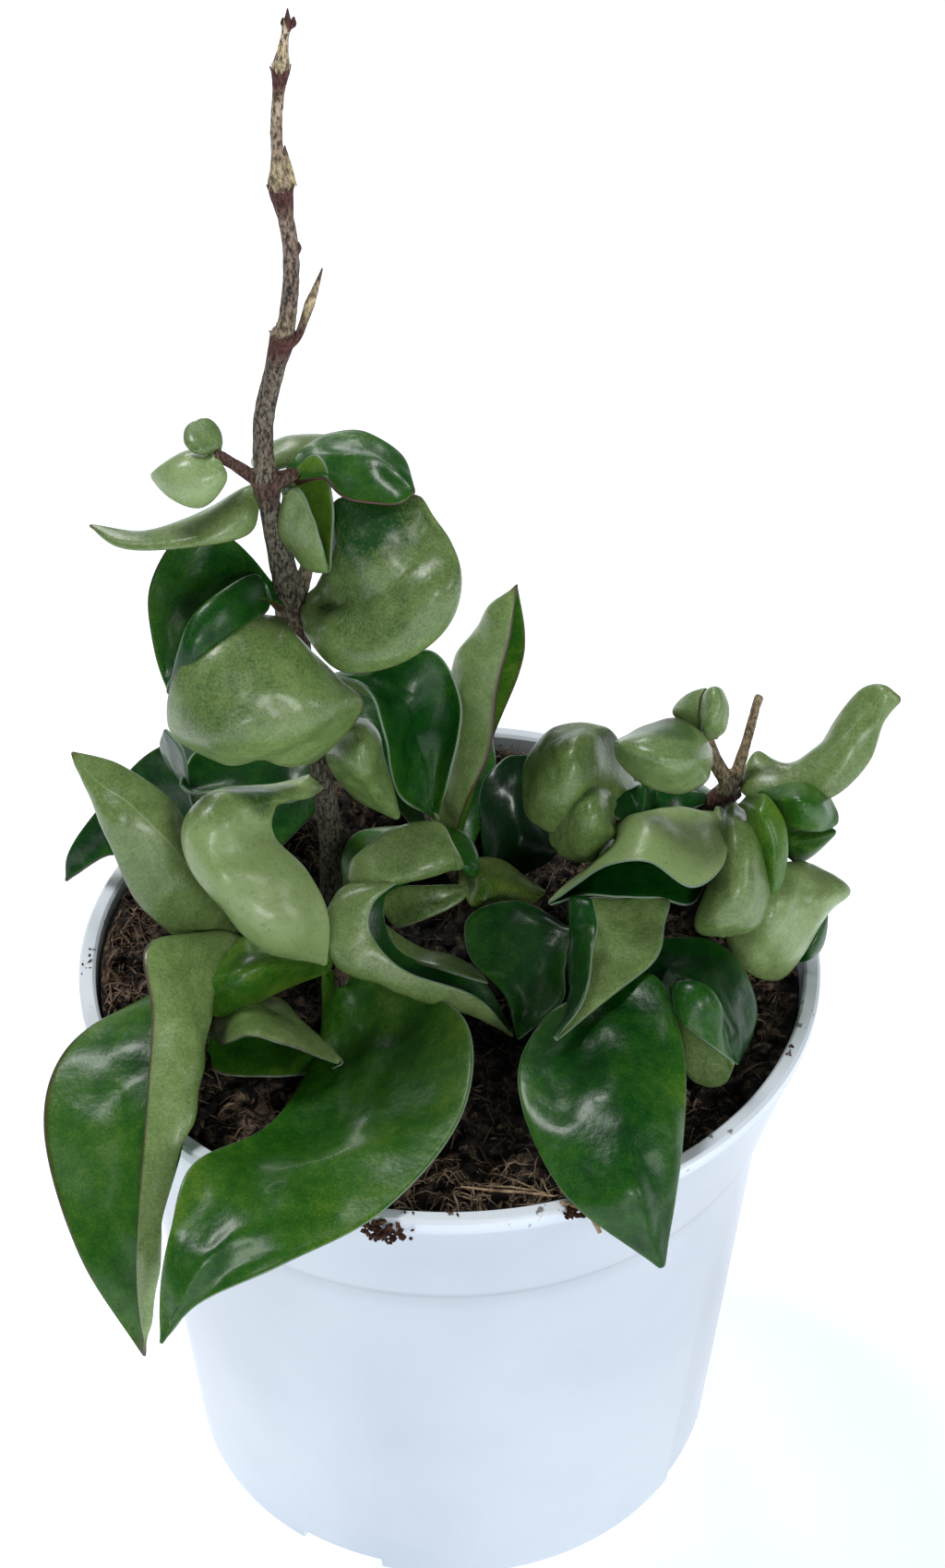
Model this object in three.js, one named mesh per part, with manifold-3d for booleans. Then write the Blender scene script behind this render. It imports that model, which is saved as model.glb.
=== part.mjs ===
// A hoya plant with curled leaves in a round nursery pot.
// Millimetres, +Z up, the side seen in the photograph faces -Y, the pot stands on z = 0.
import * as THREE from 'three';
import Module from 'manifold-3d';

const wasm = await Module();
wasm.setup();
const { Manifold, Mesh } = wasm;

// ---- driving sizes
const POT = {
  height: 103, rim_radius: 60, lip: 2.7, lip_depth: 3, lip_flare: 0.6, corner: 0.5,
  collar_depth: 23, collar_radius: 54, body_radius: 52.7, wall: 1.4,
  shelf_top: 1.4, shelf_under: 0.6, floor_corner: 0.4,
  foot_radius: 45.7, foot_height: 4, foot_width: 3.4, floor: 1.6, boss_radius: 11, segments: 48,
};
const NOTCH = { count: 4, first_degrees: -115, width: 15, height: 2.6 };
const DRAIN = { count: 6, radius: 3, circle: 29, sides: 12 };
const SOIL = { top: 97.2, wall_height: 98.6, bump: 0.9, rings: 7, segments: 36 };
const GAP = 0.3;
const BLADE = 0.9;
const ROOT_HALF_WIDTH = 1.1;
const TIP_HALF_WIDTH = 0.4;
const SWELLING = { length: 1.4, reach: 1.6, amount: 0.4, closest: 0.3 };
const SIDEWAYS = new THREE.Vector3(0.3, 1, 0.1);

// ---- colours and finishes
const LOOKS = {
  white_plastic: { color: 0xeef0f4, roughness: 0.35, metalness: 0 },
  peat: { color: 0x43352b, roughness: 0.95, metalness: 0 },
  bark: { color: 0x6e6a58, roughness: 0.75, metalness: 0 },
  grown_leaf: { color: 0x5d7350, roughness: 0.4, metalness: 0 },
  young_leaf: { color: 0x8ca560, roughness: 0.45, metalness: 0 },
};
const YOUNG = [
  'bud_leaf_round', 'bud_leaf_pointed', 'right_twig_leaf_left', 'right_twig_leaf_round',
  'right_pillow', 'right_small_cap', 'right_small_inner', 'right_lens', 'small_curl_top',
];

const vec = (p) => new THREE.Vector3(p[0], p[1], p[2]);

// ---- solids
function solid(geometry) {
  const source = geometry.index ? geometry.toNonIndexed() : geometry;
  const place = source.attributes.position;
  const known = new Map();
  const points = [];
  const faces = [];
  for (let i = 0; i < place.count; i += 3) {
    const face = [0, 1, 2].map((k) => {
      const p = [place.getX(i + k), place.getY(i + k), place.getZ(i + k)];
      const key = p.map((v) => Math.round(v * 1e4)).join();
      if (!known.has(key)) {
        known.set(key, points.length / 3);
        points.push(...p);
      }
      return known.get(key);
    });
    if (face[0] !== face[1] && face[1] !== face[2] && face[2] !== face[0]) faces.push(...face);
  }
  return new Manifold(new Mesh({
    numProp: 3, vertProperties: new Float32Array(points), triVerts: new Uint32Array(faces),
  }));
}

// The largest single body of a solid, as a named mesh.
function part(name, body, look) {
  const pieces = body.decompose().sort((a, b) => b.volume() - a.volume());
  const data = pieces[0].getMesh();
  const geometry = new THREE.BufferGeometry();
  geometry.setAttribute('position', new THREE.BufferAttribute(new Float32Array(data.vertProperties), 3));
  geometry.setIndex(new THREE.BufferAttribute(new Uint32Array(data.triVerts), 1));
  const mesh = new THREE.Mesh(geometry, new THREE.MeshStandardMaterial(LOOKS[look]));
  mesh.name = name;
  return mesh;
}

// A grid of points as triangles; `flip` turns them over.
function facets(out, rows, flip, wrap = false) {
  const last = wrap ? rows[0].length : rows[0].length - 1;
  for (let i = 0; i + 1 < rows.length; i += 1) {
    for (let j = 0; j < last; j += 1) {
      const k = (j + 1) % rows[0].length;
      const corners = [rows[i][j], rows[i][k], rows[i + 1][k], rows[i + 1][j]];
      const order = flip ? [0, 2, 1, 0, 3, 2] : [0, 1, 2, 0, 2, 3];
      order.forEach((c) => out.push(corners[c].x, corners[c].y, corners[c].z));
    }
  }
}

function fromFacets(list) {
  const geometry = new THREE.BufferGeometry();
  geometry.setAttribute('position', new THREE.Float32BufferAttribute(list, 3));
  return geometry;
}

const curve = (points) => new THREE.CatmullRomCurve3(points, false, 'catmullrom', 0.5);

// ---- stems: a round section swept along a route, thicker at the leaf nodes
function stem({ route, radius, nodes = [], sides = 8, step = 4 }, grow = 0) {
  const path = curve(route.map(vec));
  const length = path.getLength();
  const places = new Set();
  const count = Math.max(2, Math.round(length / step));
  for (let i = 0; i <= count; i += 1) places.add(i / count);
  const swell = SWELLING.length / length;
  const reach = SWELLING.reach * swell;
  nodes.forEach((n) => [n - reach, n, n + reach].forEach((t) => {
    if (t > 0 && t < 1) places.add(t);
  }));
  const rows = [...places].sort((a, b) => a - b)
    .filter((t, i, all) => i === 0 || t - all[i - 1] > SWELLING.closest * swell);
  const rings = rows.map((t) => {
    const centre = path.getPoint(t);
    const along = path.getTangent(t);
    const across = SIDEWAYS.clone().cross(along).normalize();
    const third = along.clone().cross(across);
    const at = t * (radius.length - 1);
    const low = Math.min(Math.floor(at), radius.length - 2);
    const plain = radius[low] + (radius[low + 1] - radius[low]) * (at - low);
    const bulge = nodes.reduce((sum, n) => sum + SWELLING.amount * Math.exp(-(((t - n) / swell) ** 2)), 0);
    const r = plain * (1 + bulge) + grow;
    return Array.from({ length: sides }, (_, k) => {
      const angle = (2 * Math.PI * k) / sides;
      return centre.clone()
        .addScaledVector(across, r * Math.cos(angle))
        .addScaledVector(third, r * Math.sin(angle));
    });
  });
  const first = path.getPoint(0).addScaledVector(path.getTangent(0), -grow);
  const end = path.getPoint(1).addScaledVector(path.getTangent(1), grow);
  const list = [];
  facets(list, [rings[0].map(() => first), ...rings, rings[0].map(() => end)], false, true);
  return solid(fromFacets(list));
}

// ---- leaves: a blade stretched over a left margin, a midrib and a right margin
// `crease` is 1 for a sharp fold along the midrib and 0 for a smooth hollow; `bulge` lifts
// each half of the blade between midrib and margin, in mm; `extra` widens the blade all round.
function sheet(leaf, extra = 0) {
  const root = vec(leaf.root);
  const tip = vec(leaf.tip);
  const [left, rib, right] = [leaf.left, leaf.rib, leaf.right].map((side) => side.map(vec));
  const between = (a, b, size) => b.clone().sub(a).normalize().multiplyScalar(size);
  const start = between(left[0], right[0], ROOT_HALF_WIDTH);
  const last = between(left[left.length - 1], right[right.length - 1], TIP_HALF_WIDTH);
  const edges = [
    curve([root.clone().sub(start), ...left, tip.clone().sub(last)]),
    curve([root, ...rib, tip]),
    curve([root.clone().add(start), ...right, tip.clone().add(last)]),
  ];
  const rows = leaf.rows ?? Math.min(10, Math.max(4, Math.round(edges[1].getLength() / 8)));
  const half = leaf.half ?? 2;
  const { bulge = [0, 0], crease = 0.2 } = leaf;
  const grid = [];
  for (let i = 0; i <= rows; i += 1) {
    const t = i / rows;
    const [l, c, r] = edges.map((edge) => edge.getPoint(t));
    const along = edges[1].getTangent(t);
    const row = [];
    for (let j = -half; j <= half; j += 1) {
      const x = Math.abs(j) / half;
      const edge = j < 0 ? l : r;
      const side = Math.sign(j);
      const toEdge = edge.clone().sub(c);
      const smooth = c.clone().addScaledVector(r.clone().sub(l), (side * x) / 2)
        .addScaledVector(l.clone().add(r).multiplyScalar(0.5).sub(c), x * x);
      const flat = c.clone().addScaledVector(toEdge, x);
      const up = toEdge.clone().multiplyScalar(side).cross(along).normalize();
      const lift = bulge[j < 0 ? 0 : 1] * 4 * x * (1 - x) * Math.sin(Math.PI * t);
      row.push(smooth.lerp(flat, crease).addScaledVector(up, -lift));
    }
    grid.push(row);
  }
  if (extra > 0) widen(grid, extra);
  return grid;
}

// Moves the edge of a sheet outward, in its own plane.
function widen(grid, extra) {
  const end = grid[0].length - 1;
  const last = grid.length - 1;
  const away = (p, inner) => p.addScaledVector(p.clone().sub(inner).normalize(), extra);
  grid.forEach((row) => {
    away(row[0], row[1]);
    away(row[end], row[end - 1]);
  });
  grid[0].forEach((p, j) => away(p, grid[1][j]));
  grid[last].forEach((p, j) => away(p, grid[last - 1][j]));
}

// A sheet with a thickness: the upper side, the underside and the edge between them.
function blade(grid, thickness) {
  const normal = (i, j) => {
    const before = grid[Math.max(i - 1, 0)][j];
    const after = grid[Math.min(i + 1, grid.length - 1)][j];
    const leftward = grid[i][Math.max(j - 1, 0)];
    const rightward = grid[i][Math.min(j + 1, grid[0].length - 1)];
    return rightward.clone().sub(leftward).cross(after.clone().sub(before)).normalize();
  };
  const shifted = (amount) => grid.map(
    (row, i) => row.map((p, j) => p.clone().addScaledVector(normal(i, j), amount)),
  );
  const upper = shifted(thickness / 2);
  const under = shifted(-thickness / 2);
  const column = (side, j) => side.map((row) => row[j]);
  const [end, last] = [grid[0].length - 1, grid.length - 1];
  const list = [];
  facets(list, upper, false);
  facets(list, under, true);
  facets(list, [column(upper, 0), column(under, 0)], false);
  facets(list, [column(upper, end), column(under, end)], true);
  facets(list, [upper[0], under[0]], true);
  facets(list, [upper[last], under[last]], false);
  return solid(fromFacets(list));
}

// ---- the routes of the stems, from the soil to the tip
const STEMS = {
  main_stem: {
    route: [[-19, 5, 88], [-19, 4, 112], [-19, 3, 128], [-21, 1, 150], [-23, 0, 170], [-24.5, 0, 182],
      [-25.5, 0, 193.5], [-24.5, 0, 205], [-23, 0, 217.5], [-21.5, 0, 229], [-21.5, 0, 241], [-22, 0, 250],
      [-21, 0, 258.5], [-19.5, 0, 267]],
    radius: [1.9, 1.9, 1.8, 1.7, 1.6, 1.5, 1.4, 1.2, 1], nodes: [0.31, 0.46, 0.6, 0.75, 0.92], step: 7,
  },
  left_stem: {
    route: [[-29, 6, 88], [-29, 1, 104], [-31, 6, 116], [-33, 11, 126]],
    radius: [1.7, 1.6, 1.3], nodes: [0.4], step: 6,
  },
  centre_stem: {
    route: [[-19, -6, 88], [-17, -10, 106], [-15, -7, 116], [-13, -5, 123]],
    radius: [1.7, 1.6, 1.2], nodes: [0.5], step: 6,
  },
  right_stem: {
    route: [[22, 20, 88], [30, 15, 108], [39, 10, 122], [45, 8, 130]],
    radius: [1.9, 1.8, 1.7], nodes: [0.6, 0.97], step: 7,
  },
  front_right_stem: {
    route: [[20, 2, 88], [21, -6, 108], [22, -13, 116], [24, -21, 114.5]],
    radius: [1.8, 1.7, 1.2], nodes: [0.55], step: 6,
  },
  rear_stem: {
    route: [[2, 12, 88], [3, 14, 103], [0, 12, 112], [-4, 20, 119]],
    radius: [1.7, 1.6, 1.2], nodes: [0.5], step: 7,
  },
};

// ---- twigs that are one piece with their stem
const TWIGS = {
  main_stem: [
    { route: [[-25.5, 0, 193], [-30, 0, 196.5], [-33, -1, 199.5]], radius: [1.1, 0.9, 0.8], sides: 6 },
  ],
  right_stem: [
    { route: [[45, 8, 130], [47, 9, 139], [48.5, 10, 147]], radius: [1.2, 0.8, 0.7], sides: 6 },
    { route: [[45, 8, 129.5], [41.5, 8, 137], [40.5, 8, 140.5]], radius: [1.4, 1.2, 1.1], sides: 6 },
  ],
};

// ---- the pointed scale at a node of the main stem
const BRACT = {
  root: [-22.5, 0, 216.5], tip: [-17.3, 0, 228], crease: 0.5, rows: 4, half: 1,
  left: [[-20.5, 1, 219.5], [-18.2, 0.5, 224.5]],
  rib: [[-20, 0, 219.5], [-17.8, 0, 224.5]],
  right: [[-20.5, -1, 219.5], [-18.2, -0.5, 224.5]],
};

// ---- the leaves. Points run from the stem to the tip; left and right are as seen from above
// the upper side.
const LEAVES = {
  bud_leaf_round: {
    root: [-33, 0, 200], tip: [-35.5, 5, 202.5], bulge: [0.3, 0.3],
    left: [[-31.5, 1, 200], [-32, 4, 201], [-33.5, 6, 202]],
    rib: [[-34, -1, 200.5], [-34.5, 1, 201.5], [-35, 4, 202]],
    right: [[-35.5, -1, 200], [-37, 0, 201], [-37, 3, 202]],
  },
  bud_leaf_pointed: {
    root: [-33, -1, 198.5], tip: [-42.5, 0, 195], bulge: [0.5, 0.5],
    left: [[-34.5, 2, 198], [-37.5, 2, 198], [-40.5, 1, 196.5]],
    rib: [[-33.5, -3, 198], [-36.5, -4, 197.5], [-39.5, -3, 197]],
    right: [[-31.5, -2, 195.5], [-35, -3, 191.5], [-39.5, -3, 193]],
  },
  top_left: {
    root: [-27.5, 2, 191], tip: [-52.5, 3, 184.5], bulge: [0.3, 0.3],
    left: [[-30, 4, 190], [-35.5, 3, 187], [-44, 2, 184]],
    rib: [[-30.5, -2, 190.5], [-37, -4, 187.5], [-46.5, -2, 185]],
    right: [[-28.5, -3, 185.5], [-36, -6, 185], [-46.5, -3, 184]],
  },
  top_back: {
    root: [-25.5, 3, 192.5], tip: [-16, 16, 190.5], bulge: [0.3, 0.3],
    left: [[-25.5, 6, 191.5], [-23.5, 8, 191], [-18.5, 10, 191]],
    rib: [[-27, 9, 191.5], [-23, 12, 192], [-19, 14, 191]],
    right: [[-29, 13, 189], [-25, 18, 189.5], [-19.5, 20, 189]],
  },
  top_right_cap: {
    root: [-23, 1, 193.5], tip: [-4.5, -5, 195.5], bulge: [0.6, 0.8],
    left: [[-21.5, 4, 196.5], [-18, 9, 196], [-12, 10, 196], [-6.5, 5, 195]],
    rib: [[-19.5, 1, 196.5], [-15.5, 2, 197], [-11, 2, 196.5], [-7, -2, 196.5]],
    right: [[-17.5, -4, 197], [-15, -7, 196], [-10, -7, 194.5], [-6.5, -6, 194]],
  },
  top_right_flap: {
    root: [-23, -1, 194], tip: [-17, -7, 183.5], crease: 0,
    left: [[-19.5, 0.8, 198], [-17.3, -1.4, 198], [-16.2, -4.8, 192.5]],
    rib: [[-24, -1.5, 190], [-23.5, -1.5, 185], [-20.5, -4, 182.5]],
    right: [[-21, -4, 195.5], [-19.2, -6.5, 193], [-18, -8.5, 189.5]],
  },
  upper_right_shell: {
    root: [-20.5, 0, 172], tip: [-4.5, -3, 193], bulge: [3, 1.5], crease: 0.5, half: 3,
    left: [[-20.5, -8, 172], [-15, -14, 170], [-6, -16, 173.5], [1, -12, 179], [0.5, -8, 188]],
    rib: [[-18.5, -3, 173.5], [-13.5, -10, 179.5], [-8, -12, 183.5], [-3.5, -10, 187.5], [-3, -6, 190.5]],
    right: [[-18.2, -2, 178], [-16.9, -2.6, 184], [-17, -2.8, 190], [-15.4, -3, 193.2], [-9, -3.4, 194]],
  },
  upper_left_dark: {
    root: [-24.5, -1, 173], tip: [-40.5, -14, 166], bulge: [-0.5, 0.8], crease: 0.8,
    left: [[-27, -6, 180], [-29, -9, 179], [-34.5, -13, 175.5], [-39, -14, 169.5]],
    rib: [[-31, -3, 178.5], [-36.5, -5, 176], [-38.5, -9, 171], [-40, -12, 168]],
    right: [[-29.5, 2, 178], [-36.5, 6, 182], [-43.5, 1, 177.5], [-44, -4, 173.5], [-42.5, -9, 167]],
  },
  front_shield: {
    root: [-24.5, -3, 171], tip: [-27, -13, 154], bulge: [0.5, 0.5], crease: 0, half: 3,
    left: [[-30.5, -8, 176], [-38.5, -16, 173.5], [-41, -16, 161.5], [-34, -12, 152.5]],
    rib: [[-25, -15, 175], [-26.5, -22, 173.5], [-28, -22, 167], [-28.5, -17, 158.5]],
    right: [[-22.5, -8, 172.5], [-16, -12, 167.5], [-12.5, -12, 162], [-20, -10, 150.5]],
  },
  mid_right_dark: {
    root: [-20, 4, 155], tip: [-2, 2, 129], crease: 0,
    left: [[-11.5, 7, 155], [-2.5, 7, 158.5], [2, 3, 151.5], [0.5, 1, 140.5]],
    rib: [[-14, 5, 154], [-6.5, 3, 151], [-4, 4, 140], [-3.5, 3, 133]],
    right: [[-16, 0, 158.5], [-12, -4, 159], [-9.5, -6, 151.5], [-8, -3, 138.5]],
  },
  mid_right_pale: {
    root: [-18, -1, 152], tip: [-8, -5, 135.5], crease: 0,
    left: [[-17.5, -3, 150], [-18.5, -4, 145.5], [-14.5, -4, 138.5]],
    rib: [[-13.5, -8, 154], [-13.5, -11, 150.5], [-11, -8, 141.5]],
    right: [[-11.5, -2, 151], [-9.5, -4, 144.5], [-8, -5, 137.5]],
  },
  tall_spear: {
    root: [0, 11, 112], tip: [10.5, 8, 170], crease: 0,
    left: [[2.5, 1, 132], [6.5, 0, 144], [7.5, 2, 154], [9.5, 4, 163]],
    rib: [[-1.5, 8, 127.5], [-1, 10, 139], [0.5, 10, 153], [5.5, 9, 162.5]],
    right: [[5.5, 16, 119], [9, 17, 133.5], [11.5, 15, 148], [12, 12, 157.5]],
  },
  left_spear: {
    root: [-30, 0, 104], tip: [-58, 0, 144.5], bulge: [0.8, 0.8], crease: 0.4,
    left: [[-34, -2, 114], [-39.5, -2, 125], [-42.5, -1, 134.5], [-50, 0, 141.5]],
    rib: [[-36, -7, 118.5], [-42.5, -8, 131.5], [-49, -6, 138.5], [-54, -3, 141]],
    right: [[-40, -10, 112.5], [-48.5, -10, 122], [-52.5, -8, 133], [-55.5, -3, 139]],
  },
  far_left_dark: {
    root: [-33, 12, 127], tip: [-64, 19, 102], bulge: [0.5, 0.5], crease: 0.4,
    left: [[-37, 14, 116], [-48, 15, 110.5], [-56.5, 17, 109]],
    rib: [[-37, 16, 125.5], [-48, 20, 118.5], [-58, 20, 111.5]],
    right: [[-40.5, 20, 130.5], [-49.5, 24, 125], [-59.5, 22, 113], [-63.5, 20, 107]],
  },
  under_shield_dark: {
    root: [-21, 6, 133], tip: [-42, 2, 136.5], bulge: [0.5, 0.5], crease: 0.3,
    left: [[-25.5, 3, 131.5], [-34, 0, 136.5], [-39.5, 0, 136]],
    rib: [[-26, 9, 133], [-33.5, 7, 134.5], [-39.5, 4, 136]],
    right: [[-23, 14, 135], [-33, 12, 136.5], [-39.5, 8, 138.5]],
  },
  side_fold_dark: {
    root: [-34, 11, 127], tip: [-44, 5, 145], bulge: [0.3, 0.3], crease: 0.4,
    left: [[-40, 12, 128.5], [-44, 12, 131], [-45.5, 10, 137.5]],
    rib: [[-39.5, 6, 131], [-42.5, 6, 135], [-43.5, 6, 140]],
    right: [[-39.5, 2, 131], [-40.5, 2, 136.5], [-41, 2, 143]],
  },
  centre_left_shell: {
    root: [-20.5, 2, 136.5], tip: [-19, -20, 118], bulge: [0.6, 0.3], crease: 0.1, half: 3,
    left: [[-26.5, -2, 139.5], [-35.5, -6, 141.5], [-40, -9, 138.5], [-39, -12, 131.5], [-29, -16, 120]],
    rib: [[-23.5, -5, 140], [-32.5, -12, 143.5], [-36.5, -18, 141], [-32, -22, 133.5], [-25, -22, 123.5]],
    right: [[-24, -4, 138.5], [-26.5, -8, 140], [-26.5, -11, 136.5], [-21.5, -14, 132], [-18.5, -18, 127]],
  },
  front_curl_top: {
    root: [-15.5, -6, 118.5], tip: [4, -4.5, 122.5], bulge: [0, 0.3], crease: 0.2,
    left: [[-17, 0, 122.5], [-14.5, 2, 126.5], [-7, 2, 128], [1, 1, 127], [4, -1, 124]],
    rib: [[-14, -9, 125], [-9.5, -11.5, 127], [-4.5, -11.5, 129], [-0.5, -9.5, 129], [3, -7.5, 126.5]],
    right: [[-15.5, -7, 127], [-13.5, -7.5, 131], [-8, -5, 133.5], [-1.5, -4, 133.5], [0.5, -6.5, 129.5]],
  },
  front_curl_inner: {
    root: [-11, -6.5, 120], tip: [3, -7, 122], bulge: [0.3, 0.3], crease: 0,
    left: [[-8.5, -10, 117], [-4.5, -11.5, 119.5], [0.5, -10.5, 121.5]],
    rib: [[-7, -8.5, 120.5], [-2.5, -9.5, 122], [1.5, -8.5, 122.5]],
    right: [[-8, -7, 123], [-3.5, -8, 124], [1, -7, 123]],
  },
  front_s_blade: {
    root: [-13.5, -8, 123], tip: [10, -20, 103], bulge: [0, 0.8], crease: 0.2, half: 3,
    left: [[-5.5, -6, 123.5], [-9.5, -7, 121.5], [-10, -10, 117.5], [-6.5, -12, 112.5], [4.5, -14, 110]],
    rib: [[-16.5, -11, 125.5], [-19.5, -15, 123], [-17, -19, 117.5], [-7, -20, 112.5], [4, -19, 107]],
    right: [[-8, -12, 128], [-11.5, -15, 126.5], [-12, -18, 123], [-7, -21, 118], [4, -20, 111.5]],
  },
  front_s_inner: {
    root: [-13, -8, 117], tip: [6, -15, 109.5], crease: 0,
    left: [[-7, -12, 112.5], [-1.5, -15, 112.5], [3, -16, 111.5]],
    rib: [[-5.5, -10, 111.5], [-1, -12, 111.5], [3, -13, 110]],
    right: [[-5, -8, 111], [0.5, -9, 110], [4.5, -11, 108.5]],
  },
  hang_left: {
    root: [-29, -1, 104.5], tip: [-47, -61, 75], bulge: [1, 1], crease: 0.7, half: 3,
    left: [[-46, -18, 121.5], [-45.5, -30, 115.5], [-46.5, -46, 104], [-47.5, -57, 89.5]],
    rib: [[-35, -12, 114.5], [-37.5, -26, 111.5], [-39, -42, 106.5], [-44, -55, 94.5]],
    right: [[-49.5, -14, 105], [-60, -26, 106], [-62.5, -38, 100], [-56.5, -53, 88.5]],
  },
  hang_front: {
    root: [-18, -9, 107], tip: [-42.5, -73, 92], bulge: [0.8, 0.8], crease: 0.4, half: 3,
    left: [[-8.5, -15, 109.5], [2.5, -27, 113], [2, -43, 109], [-9.5, -59, 105], [-24.5, -68, 103],
      [-36.5, -72, 99.5]],
    rib: [[-17, -13, 105], [-13, -27, 104.5], [-16.5, -45, 104.5], [-26, -60, 107], [-34.5, -68, 106],
      [-39.5, -72, 99.5]],
    right: [[-20.5, -9, 105.5], [-21, -20, 101], [-27.5, -38, 102], [-38, -54, 110], [-41, -64, 106],
      [-42.5, -70, 99]],
  },
  small_curl_top: {
    root: [-19, -9, 108], tip: [-38, -18, 111], bulge: [0.4, 0.6], crease: 0,
    left: [[-27.5, -16, 108.5], [-32.5, -20, 108.5], [-37, -20, 107.5]],
    rib: [[-24.5, -14, 113], [-31, -20, 117.5], [-37, -20, 114.5]],
    right: [[-24, -8, 110.5], [-32, -8, 113.5], [-38, -12, 112.5]],
  },
  small_curl_low: {
    root: [-38, -18, 101], tip: [-17.5, -27, 103.5], bulge: [0.5, 0.5], crease: 0,
    left: [[-35.5, -25, 106], [-31, -30, 112.5], [-26, -31, 112], [-21, -30, 108.5]],
    rib: [[-37.5, -14, 102], [-33.5, -12, 104], [-28, -12, 103.5], [-24, -17, 103]],
    right: [[-37, -24, 99.5], [-32, -25, 99], [-25.5, -25, 99], [-20, -26, 100.5]],
  },
  right_twig_leaf_left: {
    root: [40.5, 8, 142], tip: [40, 8, 150], crease: 0,
    left: [[39.5, 6, 145], [39, 6, 148], [39.5, 7, 149.5]],
    rib: [[38.5, 7, 144], [37, 7, 146.5], [38, 8, 148.5]],
    right: [[37, 9, 142.5], [35, 10, 144], [37, 10, 147]],
  },
  right_twig_leaf_round: {
    root: [41, 7, 141.5], tip: [41, 7, 151], crease: 0,
    left: [[43, 5, 144], [43.5, 6, 147.5], [42.5, 7, 150]],
    rib: [[40.5, 2, 147.5], [41, 3, 150], [41, 5, 151.5]],
    right: [[39.5, 5, 144], [39, 6, 147], [39.5, 7, 149.5]],
  },
  right_pillow: {
    root: [40.5, 5, 139], tip: [25.5, 0, 145.5], bulge: [0.5, 0.5], crease: 0,
    left: [[40, 0, 138], [36, -3, 138], [30.5, -3, 139.5], [26.5, -1, 142.5]],
    rib: [[38.5, -5, 146.5], [33.5, -9, 149.5], [29.5, -8, 150], [26.5, -4, 148.5]],
    right: [[39.5, 4, 144], [35.5, 5, 146.5], [31, 3, 147], [27.5, 2, 145.5]],
  },
  right_round_far: {
    root: [32, 12, 115], tip: [11.5, 2, 133.5], bulge: [0.3, 0.3], crease: 0,
    left: [[27, 8, 139], [22.5, 9, 142.5], [16, 8, 142], [12, 6, 137]],
    rib: [[22.5, 0, 139], [19, -3, 144], [15.5, -2, 141.5], [13, 0, 137]],
    right: [[22, -2, 133.5], [18, -3, 130], [15, -2, 130], [12.5, 0, 131]],
  },
  right_round_low: {
    root: [31, 13, 112], tip: [16, -1, 127], bulge: [0.2, 0.2], crease: 0,
    left: [[26, 3, 132.5], [22, 2, 136.5], [17.5, 1, 133]],
    rib: [[24, -5, 135], [20.5, -8, 137], [17.5, -4, 131.5]],
    right: [[26, -4, 130], [22, -5, 126], [18, -3, 125.5]],
  },
  right_dark_front: {
    root: [36, 10, 121], tip: [25, 3, 132], crease: 0.5,
    left: [[31.5, 2, 127.5], [28.5, 0, 129.5], [26, -1, 131.5]],
    rib: [[31.5, 4, 130], [29, 3, 130.5], [26.5, 2, 131]],
    right: [[31.5, 6, 132.5], [28.5, 6, 131.5], [26, 4, 132]],
  },
  right_dark_rear: {
    root: [41, 9, 127], tip: [32, 6, 130], crease: 0.3,
    left: [[37.5, 4, 128.5], [35, 3, 127.5], [33, 3, 127.5]],
    rib: [[38, 6, 129], [35.5, 6, 129], [33, 6, 129]],
    right: [[38, 9, 129], [35.5, 9, 130.5], [33, 8, 131]],
  },
  right_arm: {
    root: [47, 8, 130.5], tip: [70.5, 10, 146], bulge: [0.4, 0.4], crease: 0.4,
    left: [[48, 4, 131], [54.5, 2, 132], [60.5, 2, 133], [66, 5, 137.5], [68, 8, 143]],
    rib: [[48.5, 8, 133], [54.5, 6, 135], [60.5, 6, 140], [65.5, 9, 144.5], [68, 10, 148]],
    right: [[49, 12, 134.5], [53.5, 11, 132], [58.5, 11, 135], [61, 12, 140.5], [65.5, 13, 146]],
  },
  right_small_cap: {
    root: [49, 5, 131], tip: [61, 0, 129.5], bulge: [0.6, 0.6], crease: 0,
    left: [[51, 7, 131.5], [55, 7, 133], [58.5, 5, 133], [61, 2, 130.5]],
    rib: [[51.5, -1, 135], [54.5, -4, 137], [57.5, -3, 135], [59.5, -1, 131]],
    right: [[52.5, 0, 130], [54.5, -1, 129], [57.5, -1, 128.5], [59.5, 0, 128]],
  },
  right_small_inner: {
    root: [47, 6, 127], tip: [61, 0, 127.5], bulge: [0.3, 0.3], crease: 0,
    left: [[54.5, 6, 125], [57.5, 4, 126], [60, 2, 127]],
    rib: [[53, 2, 125], [55.5, 1, 125], [58.5, 0, 126.5]],
    right: [[54, 3, 120], [56, 3, 118.5], [58.5, 2, 121.5]],
  },
  right_lens: {
    root: [46.5, 2, 132], tip: [50.5, -8, 119.5], bulge: [0.3, 0.3], crease: 0.4,
    left: [[49.5, -1, 136], [52.5, -4, 132], [52.5, -7, 125]],
    rib: [[48, -4, 135], [50, -7, 131.5], [50.5, -9, 126.5]],
    right: [[46.5, -1, 132], [47, -4, 127.5], [49, -7, 123]],
  },
  right_front_shell: {
    root: [43, 5, 128], tip: [15.5, -11, 122.5], bulge: [0.3, 1.2], crease: 0.1, half: 3,
    left: [[39, -8, 120.5], [32.5, -10, 122.5], [26.5, -12, 124.5], [21, -12, 125]],
    rib: [[41, 5, 127.5], [36.5, 4, 129], [31, 3, 128], [26, 1, 125.5], [21, -5, 123.5]],
    right: [[42.5, -12, 132], [37, -18, 131.5], [30.5, -16, 135], [24.5, -14, 133], [20, -12, 127.5]],
  },
  right_front_back: {
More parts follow.
